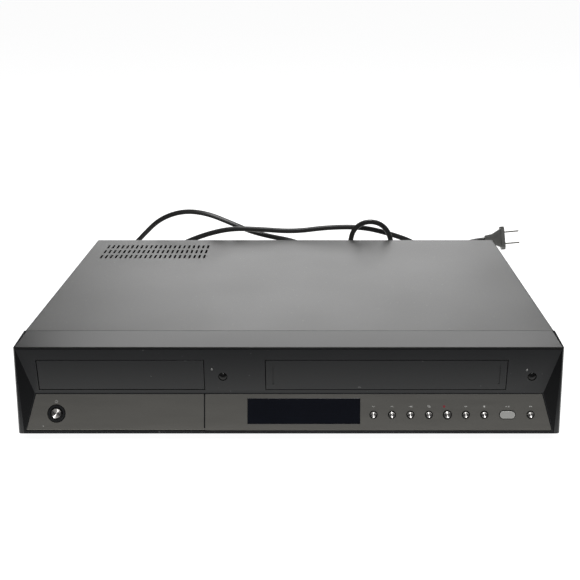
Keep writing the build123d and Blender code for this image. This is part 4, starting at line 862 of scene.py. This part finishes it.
bm = bmesh.new()
ring_arc(bm, lower_face, power_place[0], -0.0068, 0.0009, 0.0002, radians(120), radians(300))
stroke(bm, lower_face, power_place[0], -0.0060, 0.0002, 0.0012)
flat_sign(bm, lower_face, -0.1950, -0.0262, 3, 0.0013, 0.0010, pi)
flap_signs = printed(bm, "flap_signs", "av_flap", "black_plastic")

ink = Finish("pale_ink", Roughness=0.55)
thin_ink = ink.noise(2500, 2)
ink.set("Base Color", ink.blend(thin_ink, (0.42, 0.42, 0.41), (0.62, 0.62, 0.60)))
ink.on(lower_signs, upper_signs, flap_signs)

bm = bmesh.new()
flat_sign(bm, lower_face, key_x["record"] - 0.0026, sign_v, 24, 0.0019, 0.0019)
record_sign = printed(bm, "record_sign", "player", "black_plastic")
red_ink = Finish("red_ink", Roughness=0.5)
thin_red = red_ink.noise(2500, 2)
red_ink.set("Base Color", red_ink.blend(thin_red, (0.16, 0.012, 0.02), (0.28, 0.02, 0.03)))
red_ink.on(record_sign)


# ---------------------------------------------------------------- sockets
# Phono sockets have a nickel shell round a coloured insulator: three behind the flap and nine
# in the back panel. The two aerial sockets beside them are threaded.
insulators = {
    "yellow": (0.60, 0.42, 0.02),
    "white": (0.62, 0.62, 0.58),
    "red": (0.42, 0.02, 0.02),
    "green": (0.03, 0.26, 0.07),
    "blue": (0.02, 0.06, 0.34),
}
front_tip = 0.0035
front_sockets = [
    (lower_face @ Matrix.Translation((x, -0.0155, -front_tip)), colour)
    for x, colour in zip((-0.1370, -0.1190, -0.1010), ("yellow", "white", "red"))
]
facing_back = Matrix.Rotation(-pi / 2, 4, "X")
rear_first = Vector((-0.0440, 0.1620, 0.0260))
rear_pitch = 0.0170
rear_colours = [("red", "white", "yellow"), ("red", "white", "yellow"), ("red", "blue", "green")]
rear_sockets = [
    (Matrix.Translation(rear_first + Vector((column, 0, row)) * rear_pitch) @ facing_back, colour)
    for column, colours in enumerate(rear_colours)
    for row, colour in enumerate(colours)
]
shell_profile = [(0.0034, -0.0006), (0.0034, 0.0001), (0.00365, 0.00025), (0.0040, 0.00025)]
shell_profile += [(0.0042, 0), (0.0042, -0.0055)]
insulator_profile = [(0.0034, -0.0004), (0.0034, -0.00005), (0.0019, 0.0001), (0.0017, 0)]
insulator_profile += [(0.0017, -0.0060)]
bm = bmesh.new()
for place, colour in front_sockets + rear_sockets:
    turned(bm, shell_profile, place, 32)
shells = settle(bm, "socket_shells", "player", "socket_metal")
nickel = Finish("nickel_plate", Metallic=1.0, Base_Color=(0.62, 0.6, 0.55))
scratches = nickel.noise(700, 2, (1, 0.1, 0.1))
nickel.set("Roughness", scratches * 0.25 + 0.18)
nickel.set("Normal", nickel.bump(scratches, 0.2, 0.00005))
nickel.on(shells)
for colour, tint in insulators.items():
    bm = bmesh.new()
    for place, chosen in front_sockets + rear_sockets:
        if chosen == colour:
            turned(bm, insulator_profile, place, 32)
    insulator = settle(bm, colour + "_insulators", "player", "jack_plastic")
    plastic = Finish(colour + "_plastic", IOR=1.5)
    mottle = plastic.noise(800, 2)
    plastic.set("Base Color", plastic.blend(mottle, tint, tuple(level * 0.8 for level in tint)))
    plastic.set("Roughness", mottle * 0.1 + 0.3)
    plastic.on(insulator)

thread_pitch = 0.00078
thread_profile = [(0.0046, -0.0082)]
for turn in range(10):
    low = -0.0080 + turn * thread_pitch
    thread_profile += [(0.00475, low), (0.00495, low + thread_pitch / 2)]
thread_profile += [(0.0047, -0.0001), (0.0040, 0.0001), (0.0012, 0.0001), (0.0012, -0.0050)]
bm = bmesh.new()
for x in (0.1540, 0.1780):
    turned(bm, thread_profile, Matrix.Translation((x, 0.1620, 0.0316)) @ facing_back, 40)
threads = settle(bm, "aerial_threads", "player", "socket_metal", 20)
nickel.on(threads)

jack_black = Finish("jack_black", IOR=1.5)
scuffs = jack_black.noise(300, 3)
jack_black.set("Base Color", jack_black.blend(scuffs, (0.012, 0.012, 0.012), (0.03, 0.03, 0.03)))
jack_black.set("Roughness", scuffs * 0.15 + 0.35)
jack_black.on(frame["nodes"]["front_av_jacks"], frame["nodes"]["rear_av_jacks"])


# ---------------------------------------------------------------- steel inside
# The pan, the deck, the cassette holder, the clamp bridge, the motors and the small cans are
# zinc-plated sheet with a faint spangle. Shafts, rails, guides and heads are ground bright.
steel = Finish("zinc_plate", Metallic=1.0)
spangle = steel.noise(60, 3)
brush = steel.noise(500, 2, (1, 0.06, 1))
steel.set("Base Color", steel.blend(spangle, (0.46, 0.47, 0.48), (0.60, 0.61, 0.61)))
steel.set("Roughness", spangle * 0.2 + 0.28)
steel.set("Normal", steel.bump(brush, 0.08, 0.00005))
zinc_nodes = ("base_chassis", "deck_plate", "cassette_holder", "clamp_bridge", "pinch_arm")
zinc_nodes += ("tray_motor", "spindle_motor", "tuner", "digital_sockets")
for name in zinc_nodes:
    steel.on(frame["nodes"][name])

ground = Finish("ground_steel", Metallic=1.0)
lines = ground.noise(1800, 2, (1, 1, 0.05))
ground.set("Base Color", ground.blend(lines, (0.66, 0.67, 0.68), (0.74, 0.75, 0.76)))
ground.set("Roughness", lines * 0.12 + 0.12)
for name in ("sled_rails", "tape_guides", "tape_heads", "capstan"):
    ground.on(frame["nodes"][name])

# The head drum and the heat sink are bare aluminium, turned and sawn.
alloy = Finish("bare_aluminium", Metallic=1.0)
tool_marks = alloy.noise(2600, 2, (0.05, 0.05, 1))
alloy.set("Base Color", alloy.blend(tool_marks, (0.62, 0.63, 0.64), (0.72, 0.73, 0.74)))
alloy.set("Roughness", tool_marks * 0.15 + 0.2)
alloy.set("Normal", alloy.bump(tool_marks, 0.15, 0.00004))
for name in ("drum_base", "drum_rotor", "heat_sink"):
    alloy.on(frame["nodes"][name])


# ---------------------------------------------------------------- mouldings inside
# The tray, the loader frame and the laser sled are dark moulded resin. The reels, the tray
# pinion, the turntable and the disc clamp are milky acetal.
dark_resin = Finish("dark_resin", IOR=1.5)
flow = dark_resin.noise(30, 4)
dark_resin.set("Base Color", dark_resin.blend(flow, (0.020, 0.020, 0.021), (0.034, 0.034, 0.035)))
dark_resin.set("Roughness", flow * 0.15 + 0.42)
dark_resin.set("Normal", dark_resin.bump(dark_resin.noise(2200, 2), 0.2, 0.00008))
tray = rounded_copy("disc_tray", 0.0002)
dark_resin.on(tray, frame["nodes"]["loader_frame"], frame["nodes"]["laser_sled"])

acetal = Finish("milky_acetal", IOR=1.48)
milk = acetal.noise(50, 3)
acetal.set("Base Color", acetal.blend(milk, (0.60, 0.59, 0.54), (0.70, 0.69, 0.64)))
acetal.set("Roughness", milk * 0.12 + 0.3)
for name in ("supply_reel", "takeup_reel", "tray_pinion", "spindle_turntable", "disc_clamp"):
    acetal.on(frame["nodes"][name])

roller_rubber = Finish("roller_rubber")
polish = roller_rubber.noise(700, 2)
roller_rubber.set("Base Color", roller_rubber.blend(polish, (0.015, 0.015, 0.015), (0.03, 0.03, 0.03)))
roller_rubber.set("Roughness", polish * 0.15 + 0.5)
roller_rubber.on(frame["nodes"]["pinch_roller"])


# ---------------------------------------------------------------- boards and their parts
# The circuit boards are green-coated laminate with paler tracks. On the power supply stand a
# transformer wound with yellow tape and capacitors in dark blue sleeves.
laminate = Finish("board_laminate", IOR=1.5)
tracks = laminate.ramp(laminate.noise(170, 1, (1, 0.35, 1)), 0.50, 0.52)
legend = laminate.ramp(laminate.noise(420, 1), 0.70, 0.72)
board_colour = laminate.blend(tracks, (0.012, 0.070, 0.030), (0.022, 0.120, 0.050))
laminate.set("Base Color", laminate.blend(legend, board_colour, (0.5, 0.5, 0.45)))
laminate.set("Roughness", tracks * 0.1 + 0.32)
laminate.set("Normal", laminate.bump(tracks, 0.3, 0.00005))
for name in ("front_control_board", "upper_switch_boards", "power_supply_board", "main_board"):
    laminate.on(frame["nodes"][name])

tape = Finish("winding_tape", IOR=1.5)
wraps = tape.noise(220, 2, (0.1, 0.1, 1))
tape.set("Base Color", tape.blend(wraps, (0.50, 0.36, 0.03), (0.62, 0.46, 0.06)))
tape.set("Roughness", wraps * 0.15 + 0.25)
tape.on(frame["nodes"]["transformer"])

sleeve = Finish("shrunk_sleeve", IOR=1.5)
stretch_marks = sleeve.noise(120, 3, (1, 1, 0.2))
sleeve.set("Base Color", sleeve.blend(stretch_marks, (0.010, 0.014, 0.045), (0.018, 0.024, 0.07)))
sleeve.set("Roughness", stretch_marks * 0.1 + 0.22)
sleeve.on(frame["nodes"]["capacitors"])
